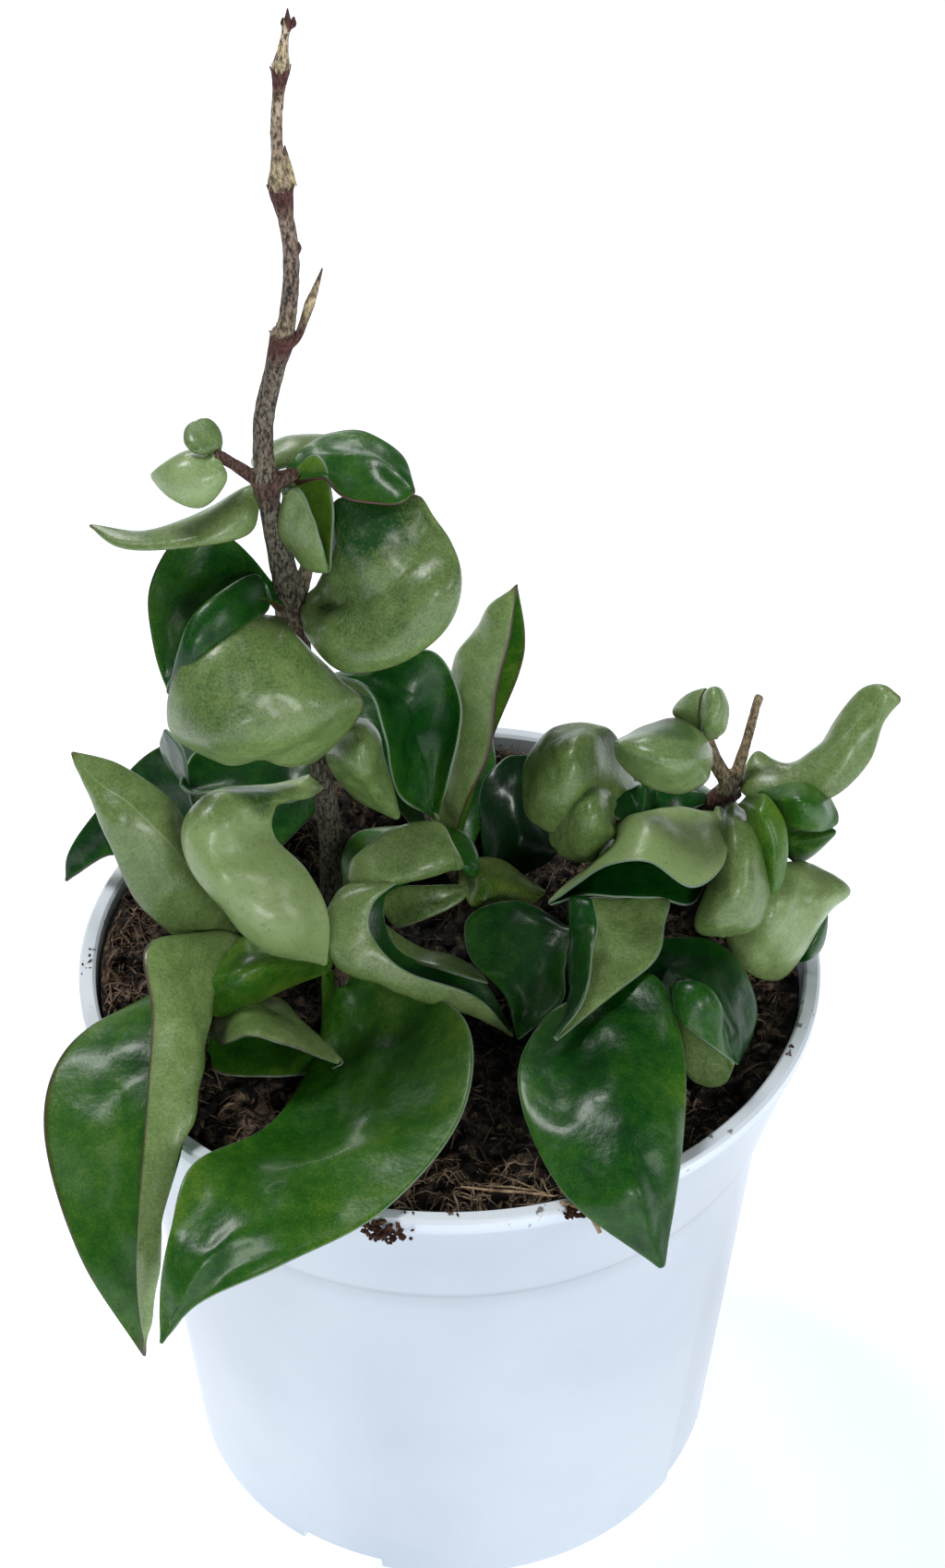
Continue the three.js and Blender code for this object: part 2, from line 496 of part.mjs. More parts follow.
    root: [45.5, 5, 128.5], tip: [43, -14, 118], bulge: [0.3, 0.3], crease: 0,
    left: [[42.5, -2, 131.5], [40.5, -9, 126], [38, -14, 120]],
    rib: [[45.5, -6, 132.5], [45.5, -13, 128.5], [43.5, -15, 122.5]],
    right: [[48.5, -1, 127.5], [50.5, -6, 121.5], [49.5, -10, 117.5]],
  },
  right_low_tip: {
    root: [40, 7, 120], tip: [63.5, -1, 116], bulge: [0.3, 0.3], crease: 0.3,
    left: [[45, -9, 110], [51.5, -9, 104], [56, -7, 107], [60, -3, 112.5]],
    rib: [[47.5, -9, 119], [52, -10, 119], [56.5, -7, 118], [60.5, -4, 118]],
    right: [[47.5, -2, 122.5], [54, 0, 121.5], [57, 1, 120.5], [60.5, 1, 118]],
  },
  right_low_fold: {
    root: [55, -2, 104.5], tip: [60.5, -1, 112], crease: 0.5,
    left: [[55.5, -4, 104.5], [57, -4, 108.5]],
    rib: [[57, -5, 105], [58.5, -5, 108.5]],
    right: [[59, -3, 104.5], [60.5, -2, 107]],
  },
  centre_back_pale: {
    root: [2, 9, 111], tip: [15.5, 2, 113.5], bulge: [0.3, 0.3], crease: 0,
    left: [[3.5, 6, 117.5], [8.5, 8, 115.5], [13, 6, 112.5]],
    rib: [[5, 1, 117], [9, 2, 116], [13.5, 2, 114]],
    right: [[3.5, -2, 114], [8.5, -1, 113.5], [13, 0, 113]],
  },
  centre_dark: {
    root: [21, -8, 112.5], tip: [10.5, -22, 104], bulge: [0.5, 0.5], crease: 0.2,
    left: [[20.5, -10, 116.5], [18, -16, 114], [17.5, -20, 110]],
    rib: [[14.5, -8, 116], [11.5, -13, 112.5], [12, -18, 109]],
    right: [[11.5, -4, 117], [3, -6, 116], [3, -11, 111.5], [8.5, -16, 108]],
  },
  centre_fold: {
    root: [22, -10, 116], tip: [16.1, -36, 117.3], bulge: [0, 0.6], crease: 0.5,
    left: [[21.9, -14, 125.9], [22.8, -18, 124.1], [22, -22.3, 123], [20.4, -29.8, 119.6]],
    rib: [[19.5, -12, 124.2], [19.2, -16, 121.6], [18.4, -20, 118.7], [18.2, -28.5, 117.8]],
    right: [[33.8, -9, 121.5], [33.5, -14, 120.5], [30.5, -19, 119], [21.6, -28.6, 118.2]],
  },
  hang_right: {
    root: [24, -22, 115], tip: [31, -64, 97.5], bulge: [0.6, 0.6], crease: 0.3, half: 3,
    left: [[32, -22, 117], [35.5, -37, 113.5], [34, -52, 106.5]],
    rib: [[23.5, -33, 115.5], [25, -48, 114.5], [27.5, -60, 108.5]],
    right: [[14.5, -28, 114.5], [10, -42, 113.5], [16.5, -58, 107]],
  },
  right_under_dark: {
    root: [23.5, -16, 116], tip: [44.5, -29, 105], bulge: [0.6, 0.6], crease: 0.2, half: 3,
    left: [[37, -12, 116.5], [45, -13, 113], [48, -20, 108]],
    rib: [[32.5, -19, 116], [39, -24, 116.5], [44, -27, 111]],
    right: [[31, -23, 113.5], [37, -27, 111.5], [42, -29, 109]],
  },
  right_under_pale: {
    root: [34.5, -22.5, 114], tip: [43.8, -30.5, 106.7], bulge: [0.4, 0], crease: 0.1,
    left: [[36.2, -29.5, 104.5], [39.4, -30.8, 101.8], [42.6, -30.6, 102.5]],
    rib: [[35.6, -26.5, 119], [38.8, -28, 119], [42, -29, 114.5]],
    right: [[34.6, -30.6, 116.6], [37, -32.8, 115.2], [40.8, -33.4, 112]],
  },
  back_dark: {
    root: [5, 14, 104], tip: [13, 28, 121], bulge: [0.5, 0.5], crease: 0.3,
    left: [[5.5, 16, 109], [5, 22, 118], [9, 26, 122]],
    rib: [[11, 12, 114.5], [11, 18, 119], [12, 24, 120]],
    right: [[17, 14, 110.5], [18, 20, 113.5], [15, 26, 118.5]],
  },
  rear_left: {
    root: [-30, 9, 115], tip: [-40, 45, 111], bulge: [0.6, 0.6],
    left: [[-39, 20, 114], [-48, 30, 117], [-47, 39, 114]],
    rib: [[-31, 22, 119], [-34, 33, 122], [-37, 41, 119]],
    right: [[-20, 22, 118], [-20, 35, 120], [-28, 43, 115]],
  },
  rear_middle: {
    root: [-6, 20, 119], tip: [-17, 53, 116], bulge: [0.6, 0.6],
    left: [[-23, 27, 124], [-27, 38, 126], [-24, 47, 121]],
    rib: [[-13, 30, 127], [-15, 40, 128], [-16, 48, 123]],
    right: [[-3, 27, 123], [-4, 38, 124], [-9, 47, 119]],
  },
  rear_right: {
    root: [37, 13, 119], tip: [44, 37, 104.5], bulge: [0.6, 0.6],
    left: [[28, 20, 114], [28, 30, 113], [36, 36, 108]],
    rib: [[38, 21, 118], [40, 28, 115], [42, 33, 110]],
    right: [[45, 17, 114], [51, 25, 110], [49, 32, 106]],
  },
  rear_drape: {
    root: [1, 14, 108], tip: [-6, 76, 92], bulge: [0.8, 0.8], half: 3,
    left: [[-9, 26, 112], [-19, 42, 112], [-18, 60, 107]],
    rib: [[0, 28, 113], [-2, 46, 114], [-4, 64, 107]],
    right: [[9, 27, 111], [15, 42, 111], [9, 60, 107]],
  },
};

// ---- pot
function ring(outline, segments) {
  const geometry = new THREE.LatheGeometry(outline.map(([r, z]) => new THREE.Vector2(r, z)), segments);
  return solid(geometry.rotateX(Math.PI / 2));
}

// The outline runs from the middle of the underside, up the outside and down the inside.
function pot() {
  const p = POT;
  const c = p.corner;
  const step = p.height - p.collar_depth;
  const lip_foot = p.height - p.lip_depth;
  const inner = p.rim_radius - p.lip;
  const floor = p.foot_height + p.floor;
  const outline = [
    [0, 0], [p.boss_radius, 0], [p.boss_radius, p.foot_height],
    [p.foot_radius - p.foot_width, p.foot_height], [p.foot_radius - p.foot_width, 0],
    [p.foot_radius - c, 0], [p.foot_radius, c],
    [p.body_radius, step - c], [p.collar_radius, step],
    [p.rim_radius - p.lip_flare, lip_foot], [p.rim_radius, lip_foot + p.lip_flare],
    [p.rim_radius, p.height - c], [p.rim_radius - c, p.height], [inner + c, p.height],
    [inner, p.height - c], [inner, lip_foot],
    [p.collar_radius - p.wall, step + p.shelf_top], [p.body_radius - p.wall, step - p.shelf_under],
    [p.foot_radius - p.wall + p.floor_corner, floor], [0, floor],
  ];
  let body = ring(outline, p.segments);
  for (let i = 0; i < NOTCH.count; i += 1) {
    const box = new THREE.BoxGeometry(4 * p.foot_width, NOTCH.width, 2 * NOTCH.height);
    box.translate(p.foot_radius, 0, 0);
    box.rotateZ(THREE.MathUtils.degToRad(NOTCH.first_degrees + (360 * i) / NOTCH.count));
    body = body.subtract(solid(box));
  }
  for (let i = 0; i < DRAIN.count; i += 1) {
    const hole = new THREE.CylinderGeometry(DRAIN.radius, DRAIN.radius, 4 * p.floor, DRAIN.sides);
    hole.rotateX(Math.PI / 2).translate(DRAIN.circle, 0, p.foot_height + p.floor / 2);
    hole.rotateZ((2 * Math.PI * (i + 0.5)) / DRAIN.count);
    body = body.subtract(solid(hole));
  }
  return body;
}

// ---- soil: a slightly uneven top inside the wall, with a plain hole for each stem
function soil(holes) {
  const p = POT;
  const shelf = p.height - p.collar_depth + p.shelf_top;
  const floor = p.foot_height + p.floor + GAP;
  const collar = p.collar_radius - p.wall;
  const slope = (p.rim_radius - p.lip - collar) / (p.height - p.lip_depth - shelf);
  const edge = collar + slope * (SOIL.wall_height - shelf) - GAP;
  const around = (r, z) => Array.from({ length: SOIL.segments }, (_, k) => {
    const a = (2 * Math.PI * k) / SOIL.segments;
    return new THREE.Vector3(r * Math.cos(a), r * Math.sin(a), z(a));
  });
  const rows = [];
  for (let i = 0; i <= SOIL.rings; i += 1) {
    const share = i / SOIL.rings;
    const level = SOIL.top + (SOIL.wall_height - SOIL.top) * share ** 4;
    const height = SOIL.bump * share * (1 - share ** 4);
    const waves = (a) => Math.sin(3 * a + 5 * share) + Math.cos(5 * a - 2);
    rows.push(around(edge * share, (a) => level + height * waves(a)));
  }
  rows.push(around(collar - GAP, () => shelf));
  rows.push(around(p.body_radius - p.wall - GAP, () => shelf - p.shelf_top - p.shelf_under));
  rows.push(around(p.foot_radius - p.wall, () => floor));
  rows.push(around(0, () => floor));
  const list = [];
  facets(list, rows, true, true);
  return holes.reduce((body, hole) => body.subtract(hole), solid(fromFacets(list)));
}

// ---- assembly: each stem and leaf is kept clear of the pieces that are already in place
function build() {
  const plant = new THREE.Group();
  const [holder, stems, leaves] = [new THREE.Group(), new THREE.Group(), new THREE.Group()];
  plant.add(holder, stems, leaves);
  const placed = [];
  const touches = (a, b) => [0, 1, 2].every((k) => a.min[k] < b.max[k] && b.min[k] < a.max[k]);
  const keptClear = (body, wide) => {
    const box = body.boundingBox();
    const near = placed.filter((other) => touches(other.box, box));
    const clear = near.reduce((rest, other) => rest.subtract(other.wide), body);
    const kept = wide.add(clear);
    placed.push({ box: kept.boundingBox(), wide: kept });
    return clear;
  };
  holder.add(part('pot', pot(), 'white_plastic'));
  holder.add(part('soil', soil(Object.values(STEMS).map((shape) => stem(shape, GAP))), 'peat'));
  Object.entries(STEMS).forEach(([name, shape]) => {
    const twigs = TWIGS[name] ?? [];
    const whole = (grow) => twigs.reduce((all, twig) => all.add(stem(twig, grow)), stem(shape, grow));
    const body = name === 'main_stem' ? whole(0).add(blade(sheet(BRACT), BLADE)) : whole(0);
    stems.add(part(name, keptClear(body, whole(GAP)), 'bark'));
  });
  Object.entries(LEAVES).forEach(([name, leaf]) => {
    const body = keptClear(blade(sheet(leaf), BLADE), blade(sheet(leaf, GAP), BLADE + 2 * GAP));
    leaves.add(part(`leaf_${name}`, body, YOUNG.includes(name) ? 'young_leaf' : 'grown_leaf'));
  });
  return plant;
}

export default build();
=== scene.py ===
import math
import random

import bpy
import bmesh
from mathutils import Matrix, Vector, noise
from mathutils.bvhtree import BVHTree


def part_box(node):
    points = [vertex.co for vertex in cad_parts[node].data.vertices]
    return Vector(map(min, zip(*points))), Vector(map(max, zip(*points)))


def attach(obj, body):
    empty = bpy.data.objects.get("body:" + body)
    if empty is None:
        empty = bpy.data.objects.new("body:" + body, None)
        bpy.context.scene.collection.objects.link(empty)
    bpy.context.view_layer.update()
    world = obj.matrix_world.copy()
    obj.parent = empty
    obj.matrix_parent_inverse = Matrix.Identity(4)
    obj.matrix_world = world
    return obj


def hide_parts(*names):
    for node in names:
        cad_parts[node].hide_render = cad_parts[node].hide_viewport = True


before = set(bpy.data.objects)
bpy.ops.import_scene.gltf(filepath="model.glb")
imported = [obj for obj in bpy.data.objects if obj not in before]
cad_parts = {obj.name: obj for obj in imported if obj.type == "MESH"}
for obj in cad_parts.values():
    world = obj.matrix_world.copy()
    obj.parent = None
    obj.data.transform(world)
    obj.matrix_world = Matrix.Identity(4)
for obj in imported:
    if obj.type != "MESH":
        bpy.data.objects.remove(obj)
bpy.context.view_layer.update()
bpy.ops.object.select_all(action="DESELECT")
MM = 0.001

# ---- The camera.
# The photograph looks down on the plant from about half a metre in front, through a lens
# of moderate length, so the rim of the pot shows as a wide ellipse.
CAMERA_PLACE = Vector((0.0, -0.379004, 0.444257))
CAMERA_FORWARD = Vector((0.00755371, 0.77749961, -0.62883805))
CAMERA_UP = Vector((0.00610912, 0.62880838, 0.77753631))
bpy.ops.object.camera_add(location=CAMERA_PLACE)
camera = bpy.context.object
camera.name = "photo_camera"
camera.data.lens = 72.04
camera.data.sensor_width = 36
camera.data.clip_start = 0.01
camera_right = CAMERA_FORWARD.cross(CAMERA_UP)
camera_turn = Matrix((camera_right, CAMERA_UP, -CAMERA_FORWARD)).transposed().to_4x4()
camera.matrix_world = Matrix.Translation(CAMERA_PLACE) @ camera_turn
bpy.context.scene.camera = camera

# ---- The studio.
# A plain pale floor under large soft lights, so the shadows at the pot's foot are faint
# and the waxy leaves catch broad, hazy highlights.
SKY = dict(colour=(0.86, 0.93, 1.0), light=0.10, wall=0.72)
FLOOR = dict(wide=6, colour=(0.86, 0.89, 0.93), glow_colour=(0.92, 0.96, 1.0), glow=0.57)
SOFTBOXES = {
    "high": dict(place=(-0.50, 0.36, 1.40), aim=(0, 0, 0.12), size=(0.45, 0.40), watts=12.5),
    "front": dict(place=(0.49, -1.35, 0.80), aim=(0, 0, 0.08), size=(0.45, 0.32), watts=7.8),
    "front_low": dict(place=(0.10, -1.4, 0.22), aim=(0, 0, 0.14), size=(0.40, 0.40), watts=1.6),
    "left": dict(place=(-1.00, -0.58, 1.06), aim=(0, 0, 0.1), size=(0.28, 0.28), watts=0.7),
    "right": dict(place=(1.26, -0.58, 0.66), aim=(0, 0, 0.1), size=(0.35, 0.45), watts=3.6),
    "behind": dict(place=(-0.19, 1.36, 0.71), aim=(0, 0.1, 0.05), size=(0.40, 0.25), watts=3.0),
}


def feed(tree, socket, value):
    """Gives a socket a plain value, or links it to the output of another node."""
    if isinstance(value, bpy.types.NodeSocket):
        tree.links.new(value, socket)
    else:
        socket.default_value = (*value, 1) if socket.type == "RGBA" else value


def add_node(tree, kind, output=0, inputs=(), **settings):
    """Adds a shader node, sets it and feeds its inputs. Gives one of its outputs."""
    node = tree.nodes.new("ShaderNode" + kind)
    for setting, value in settings.items():
        setattr(node, setting, value)
    for label, value in dict(inputs).items():
        feed(tree, node.inputs[label], value)
    return node.outputs[output]


def new_material(name, **finish):
    """A fresh node material, its node tree and its shader, with the finish set."""
    material = bpy.data.materials.new(name)
    material.use_nodes = True
    tree = material.node_tree
    shader = tree.nodes["Principled BSDF"]
    for label, value in finish.items():
        feed(tree, shader.inputs[label.replace("_", " ")], value)
    return material, tree, shader


def pale_room():
    world = bpy.data.worlds.new("pale_room")
    bpy.context.scene.world = world
    world.use_nodes = True
    tree = world.node_tree
    sky = tree.nodes["Background"]
    feed(tree, sky.inputs["Color"], SKY["colour"])
    feed(tree, sky.inputs["Strength"], SKY["light"])
    wall = add_node(tree, "Background", inputs={"Color": SKY["colour"], "Strength": SKY["wall"]})
    seen = add_node(tree, "LightPath", "Is Camera Ray")
    room = add_node(tree, "MixShader", inputs={0: seen, 1: sky.outputs["Background"], 2: wall})
    feed(tree, tree.nodes["World Output"].inputs["Surface"], room)


def studio():
    pale_room()
    for name, box in SOFTBOXES.items():
        bpy.ops.object.light_add(type="AREA", location=box["place"])
        lamp = bpy.context.object
        lamp.name = name + "_softbox"
        lamp.data.shape = "RECTANGLE"
        lamp.data.size, lamp.data.size_y = box["size"]
        lamp.data.energy = box["watts"]
        away = Vector(box["place"]) - Vector(box["aim"])
        lamp.rotation_euler = away.to_track_quat("Z", "Y").to_euler()
    bpy.ops.mesh.primitive_plane_add(size=FLOOR["wide"])
    floor = bpy.context.object
    floor.name = "pale_floor"
    paint, _, _ = new_material(
        "floor_paint", Base_Color=FLOOR["colour"], Roughness=0.7,
        Emission_Color=FLOOR["glow_colour"], Emission_Strength=FLOOR["glow"])
    floor.data.materials.append(paint)


studio()
bpy.context.scene.view_settings.view_transform = "Standard"

# ---- The pot.
# One injection-moulded nursery pot of white plastic: rolled lip, deep flared collar, a step
# under it, a tapered body and a notched foot. It is turned from one outline, then cut.
POT = dict(
    height=103, rim=60, lip=2.7, lip_depth=3, lip_flare=0.6, corner=0.5, collar_depth=23,
    collar=54, body=52.7, wall=1.4, shelf_top=1.4, shelf_under=0.6, floor_corner=0.4,
    foot=45.7, foot_height=4, foot_width=3.4, floor=1.6, boss=11, sides=192,
)
NOTCHES = dict(count=4, first_degrees=-115, width=15, height=2.6)
DRAINS = dict(count=6, radius=3, circle=29, sides=32)
POT_EDGE = dict(width=0.45, segments=3, sharp_degrees=28, smooth_degrees=35)
# Painted light and shade by height: the foot lighter as if lit from the floor, a painted shadow
# around the step (heights from it), and lighter under and on the lip as if lit from above.
POT_FOOT_PAINTED_LIGHT, POT_LIP_PAINTED_LIGHT = (1.2, 1.19, 1.18), (1.5, 1.46, 1.38)
STEP_PAINTED_SHADOW = ((-0.05, 1.02), (-0.02, 0.92), (-0.006, 0.64), (0.004, 0.76), (0.012, 0.96))
RIM_PAINTED_LIGHT = ((0.965, 0.98), (0.985, 1.4))
RIM_DUST = dict(low=94, high=103, more=0.13, colour=(0.10, 0.07, 0.05))


def pick(piece):
    """Selects one piece alone and makes it the active one."""
    bpy.ops.object.select_all(action="DESELECT")
    piece.select_set(True)
    bpy.context.view_layer.objects.active = piece


def modify(piece, kind, **settings):
    """Gives the piece a modifier with its settings, and applies it."""
    modifier = piece.modifiers.new(kind.lower(), kind)
    for setting, value in settings.items():
        setattr(modifier, setting, value)
    pick(piece)
    bpy.ops.object.modifier_apply(modifier=modifier.name)


def cut_away(piece, tool):
    """Takes the tool's solid out of the piece and removes the tool."""
    modify(piece, "BOOLEAN", operation="DIFFERENCE", object=tool)
    bpy.data.objects.remove(tool)


def turned(name, outline, sides):
    """A solid of revolution: a disc that is extruded and resized along the outline."""
    radius, height = outline[0]
    bpy.ops.mesh.primitive_circle_add(
        vertices=sides, radius=radius * MM, fill_type="NGON", location=(0, 0, height * MM))
    piece = bpy.context.object
    piece.name = name
    bpy.ops.object.transform_apply(location=True)
    bpy.ops.object.mode_set(mode="EDIT")
    bpy.ops.mesh.select_all(action="SELECT")
    for wider, higher in outline[1:]:
        rise = (0, 0, (higher - height) * MM)
        bpy.ops.mesh.extrude_region_move(TRANSFORM_OT_translate={"value": rise})
        ratio = wider / radius
        bpy.ops.transform.resize(value=(ratio, ratio, 1), center_override=(0, 0, higher * MM))
        radius, height = wider, higher
    bpy.ops.mesh.select_all(action="SELECT")
    bpy.ops.mesh.normals_make_consistent(inside=False)
    bpy.ops.object.mode_set(mode="OBJECT")
    return piece


def pot_outline():
    """The wall's outline as radius and height: out over the foot, up, and down the inside."""
    p = POT
    c = p["corner"]
    step = p["height"] - p["collar_depth"]
    lip_foot = p["height"] - p["lip_depth"]
    inner = p["rim"] - p["lip"]
    ring = p["foot"] - p["foot_width"]
    return [
        (p["boss"], 0), (p["boss"], p["foot_height"]), (ring, p["foot_height"]), (ring, 0),
        (p["foot"] - c, 0), (p["foot"], c), (p["body"], step - c), (p["collar"], step),
        (p["rim"] - p["lip_flare"], lip_foot), (p["rim"], lip_foot + p["lip_flare"]),
        (p["rim"], p["height"] - c), (p["rim"] - c, p["height"]), (inner + c, p["height"]),
        (inner, p["height"] - c), (inner, lip_foot),
        (p["collar"] - p["wall"], step + p["shelf_top"]),
        (p["body"] - p["wall"], step - p["shelf_under"]),
        (p["foot"] - p["wall"] + p["floor_corner"], p["foot_height"] + p["floor"]),
    ]


def clouds(tree, place, **settings):
    """Soft random clouds, finer the larger their scale is."""
    return add_node(tree, "TexNoise", "Fac", {"Vector": place, **settings})


def ramp(tree, source, *stops):
    """Colours by the source's value. A stop is a value and its colour, or its grey."""
    node = tree.nodes.new("ShaderNodeValToRGB")
    run = node.color_ramp.elements
    colours = [(*tone, 1) if isinstance(tone, tuple) else (*[tone] * 3, 1) for _, tone in stops]
    run[0].position, run[0].color = stops[0][0], colours[0]
    run[1].position, run[1].color = stops[-1][0], colours[-1]
    for (value, _), colour in zip(stops[1:-1], colours[1:-1]):
        run.new(value).color = colour
    tree.links.new(source, node.inputs["Fac"])
    return node.outputs["Color"]


def blended(tree, factor, first, second, kind="MIX"):
    """The second colour laid over the first one, or multiplied into it, by the factor."""
    inputs = {"Factor": factor, "A": first, "B": second}
    return add_node(tree, "Mix", "Result", inputs, data_type="RGBA", blend_type=kind)


def math_of(tree, operation, *terms):
    """A sum done on outputs and plain numbers."""
    return add_node(tree, "Math", "Value", enumerate(terms), operation=operation)


def in_range(tree, value, **limits):
    """The value carried from one range to another, and kept inside it."""
    inputs = {label.replace("_", " "): limit for label, limit in limits.items()}
    return add_node(tree, "MapRange", "Result", {"Value": value, **inputs})


def dressed(tree, shader, colour, relief=None, strength=0.0, depth=0.0):
    """Gives the shader its colour and, where there is relief, its fine roughness."""
    feed(tree, shader.inputs["Base Color"], colour)
    if relief is not None:
        inputs = {"Height": relief, "Strength": strength, "Distance": depth}
        feed(tree, shader.inputs["Normal"], add_node(tree, "Bump", "Normal", inputs))


def pot_plastic():
    """Faintly clouded white with painted light and shade by height (a painted shadow in the nook of
    the step, lighter at the foot and the lip), and specks of soil at the rim.
    """
    material, tree, shader = new_material(
        "white_pot_plastic", Roughness=0.32, Coat_Weight=0.25, Coat_Roughness=0.18,
        Subsurface_Weight=0.15, Subsurface_Radius=(0.003, 0.003, 0.004))
    place = add_node(tree, "TexCoord", "Object")
    cloud = clouds(tree, place, Scale=28, Detail=6)
    white = ramp(tree, cloud, (0.35, (0.50, 0.56, 0.64)), (0.65, (0.56, 0.615, 0.69)))
    height = add_node(tree, "SeparateXYZ", "Z", {"Vector": place})
    level = in_range(tree, height, From_Min=0.0, From_Max=POT["height"] * MM)
    step = (POT["height"] - POT["collar_depth"]) / POT["height"]
    # Painted light and shade: lighter at the foot and at the lip, a painted shadow under the step.
    painted_light_by_height = [(step + up, tone) for up, tone in STEP_PAINTED_SHADOW] + list(RIM_PAINTED_LIGHT)
    shade = ramp(
        tree, level, (0.0, POT_FOOT_PAINTED_LIGHT),
        *[(up, (tone, tone, tone * 1.01)) for up, tone in painted_light_by_height], (1.0, POT_LIP_PAINTED_LIGHT))
    # The white with the painted light and shade multiplied in.
    aged = blended(tree, 1, white, shade, "MULTIPLY")
    near_rim = in_range(
        tree, height, From_Min=RIM_DUST["low"] * MM, From_Max=RIM_DUST["high"] * MM,
        To_Min=0.0, To_Max=RIM_DUST["more"])
    dust = math_of(tree, "ADD", clouds(tree, place, Scale=420, Detail=8), near_rim)
    specks = ramp(tree, dust, (0.78, 0), (0.82, 0.8))
    dirty = blended(tree, specks, aged, RIM_DUST["colour"])
    dressed(tree, shader, dirty, cloud, strength=0.06, depth=0.0004)
    return material


def build_pot():
    pot = turned("nursery_pot", pot_outline(), POT["sides"])
    for i in range(NOTCHES["count"]):
        angle = math.radians(NOTCHES["first_degrees"] + 360 * i / NOTCHES["count"])
        out = Vector((math.cos(angle), math.sin(angle), 0)) * POT["foot"] * MM
        bpy.ops.mesh.primitive_cube_add(size=1, location=out, rotation=(0, 0, angle))
        notch = bpy.context.object
        deep = 4 * POT["foot_width"] * MM
        notch.scale = (deep, NOTCHES["width"] * MM, 2 * NOTCHES["height"] * MM)
        bpy.context.view_layer.update()
        cut_away(pot, notch)
    for i in range(DRAINS["count"]):
        angle = 2 * math.pi * (i + 0.5) / DRAINS["count"]
        centre = Vector((math.cos(angle), math.sin(angle), 0)) * DRAINS["circle"] * MM
        centre.z = (POT["foot_height"] + POT["floor"] / 2) * MM
        bpy.ops.mesh.primitive_cylinder_add(
            vertices=DRAINS["sides"], radius=DRAINS["radius"] * MM, depth=4 * POT["floor"] * MM,
            location=centre)
        cut_away(pot, bpy.context.object)
    modify(
        pot, "BEVEL", width=POT_EDGE["width"] * MM, segments=POT_EDGE["segments"],
        limit_method="ANGLE", angle_limit=math.radians(POT_EDGE["sharp_degrees"]))
    bpy.ops.object.shade_smooth_by_angle(angle=math.radians(POT_EDGE["smooth_degrees"]))
    pot.data.materials.append(pot_plastic())
    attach(pot, "root")
    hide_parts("pot")


build_pot()

# ---- The soil.
# Dark, fibrous peat fills the pot from its bottom to just under the lip, one imported body. It
# is rough with crumbs and climbs the wall on the left. Its colour is darkened in the middle under
# the leaves: painted shade.
SOIL = dict(top=97.2, wall_height=98.6, gap=0.3, left_bank=2.2, sides=300, rings=100)
MIDDLE_SHADE = dict(shaded=24, unshaded=47, tone=0.36)  # mm from the middle, and how dark the painted shade under the leaves is
# The forms on its top: how wide one is and how far it rises, in mm.
SOIL_FORMS = dict(swell=(22, 1.6), lump=(7, 2.4), crumb=(2.6, 1.9), grain=(1.3, 1.0))
SOIL_ROUGH = dict(all=0.8, lost_at_wall=0.75)
PEAT_TONES = ((0.007, 0.006, 0.006), (0.046, 0.034, 0.027), (0.34, 0.235, 0.155))


def soil_radius():
    """Where the soil meets the collar's sloping inner wall, in mm."""
    shelf = POT["height"] - POT["collar_depth"] + POT["shelf_top"]
    collar = POT["collar"] - POT["wall"]
    slope = (POT["rim"] - POT["lip"] - collar) / (POT["height"] - POT["lip_depth"] - shelf)
    return collar + slope * (SOIL["wall_height"] - shelf) - SOIL["gap"]


def soil_height(x, y):
    """The height of the soil's top above the point x, y, all in mm."""
    wide = {form: size[0] for form, size in SOIL_FORMS.items()}
    rise = {form: size[1] for form, size in SOIL_FORMS.items()}
    share = min(math.hypot(x, y) / soil_radius(), 1.0)
    level = SOIL["top"] + (SOIL["wall_height"] - SOIL["top"]) * share ** 4
    left = max(0.0, -x / soil_radius()) ** 2 * share ** 6
    swell = noise.noise(Vector((x, y, 3)) / wide["swell"]) * rise["swell"]
    lump = noise.fractal(Vector((x, y, 9)) / wide["lump"], 0.9, 2.1, 3) * rise["lump"]
    cell = noise.voronoi(Vector((x, y, 1)) / wide["crumb"])[0]
    crumb = (0.55 - cell[0]) * rise["crumb"]
    grain = noise.fractal(Vector((x, y, 5)) / wide["grain"], 0.6, 2.3, 3) * rise["grain"]
    calm = 1 - SOIL_ROUGH["lost_at_wall"] * share ** 12
    rough = (swell + lump + crumb + grain) * calm * SOIL_ROUGH["all"]
    return level + SOIL["left_bank"] * left + rough


def shaded_middle(tree, place, colour):
    """The colour, darkened in the middle under the leaves: painted shade."""
    flat = add_node(tree, "Mapping", inputs={"Vector": place, "Scale": (1, 1, 0)})
    reach = add_node(tree, "VectorMath", "Value", {0: flat}, operation="LENGTH")
    unshaded = in_range(
        tree, reach, From_Min=MIDDLE_SHADE["shaded"] * MM, From_Max=MIDDLE_SHADE["unshaded"] * MM,
        To_Min=MIDDLE_SHADE["tone"], To_Max=1.0)
    return blended(tree, 1, colour, unshaded, "MULTIPLY")


def peat(name, tones):
    """Crumbly stuff: each small lump has a tone of its own, and fine grit breaks it up."""
    material, tree, shader = new_material(name, Roughness=0.93, Specular_IOR_Level=0.25)
    place = add_node(tree, "TexCoord", "Object")
    grit = clouds(tree, place, Scale=520, Detail=8, Roughness=0.75)
    lump = add_node(tree, "TexVoronoi", "Color", {"Vector": place, "Scale": 620, "Randomness": 1})
    own_tone = add_node(tree, "SeparateColor", "Red", {"Color": lump})
    level = math_of(tree, "MULTIPLY_ADD", own_tone, 0.30, grit)
    colour = ramp(tree, level, *zip((0.50, 0.70, 0.92), tones))
    # Darker in the middle under the leaves: painted shade.
    dressed(tree, shader, shaded_middle(tree, place, colour), grit, strength=0.9, depth=0.0008)
    return material


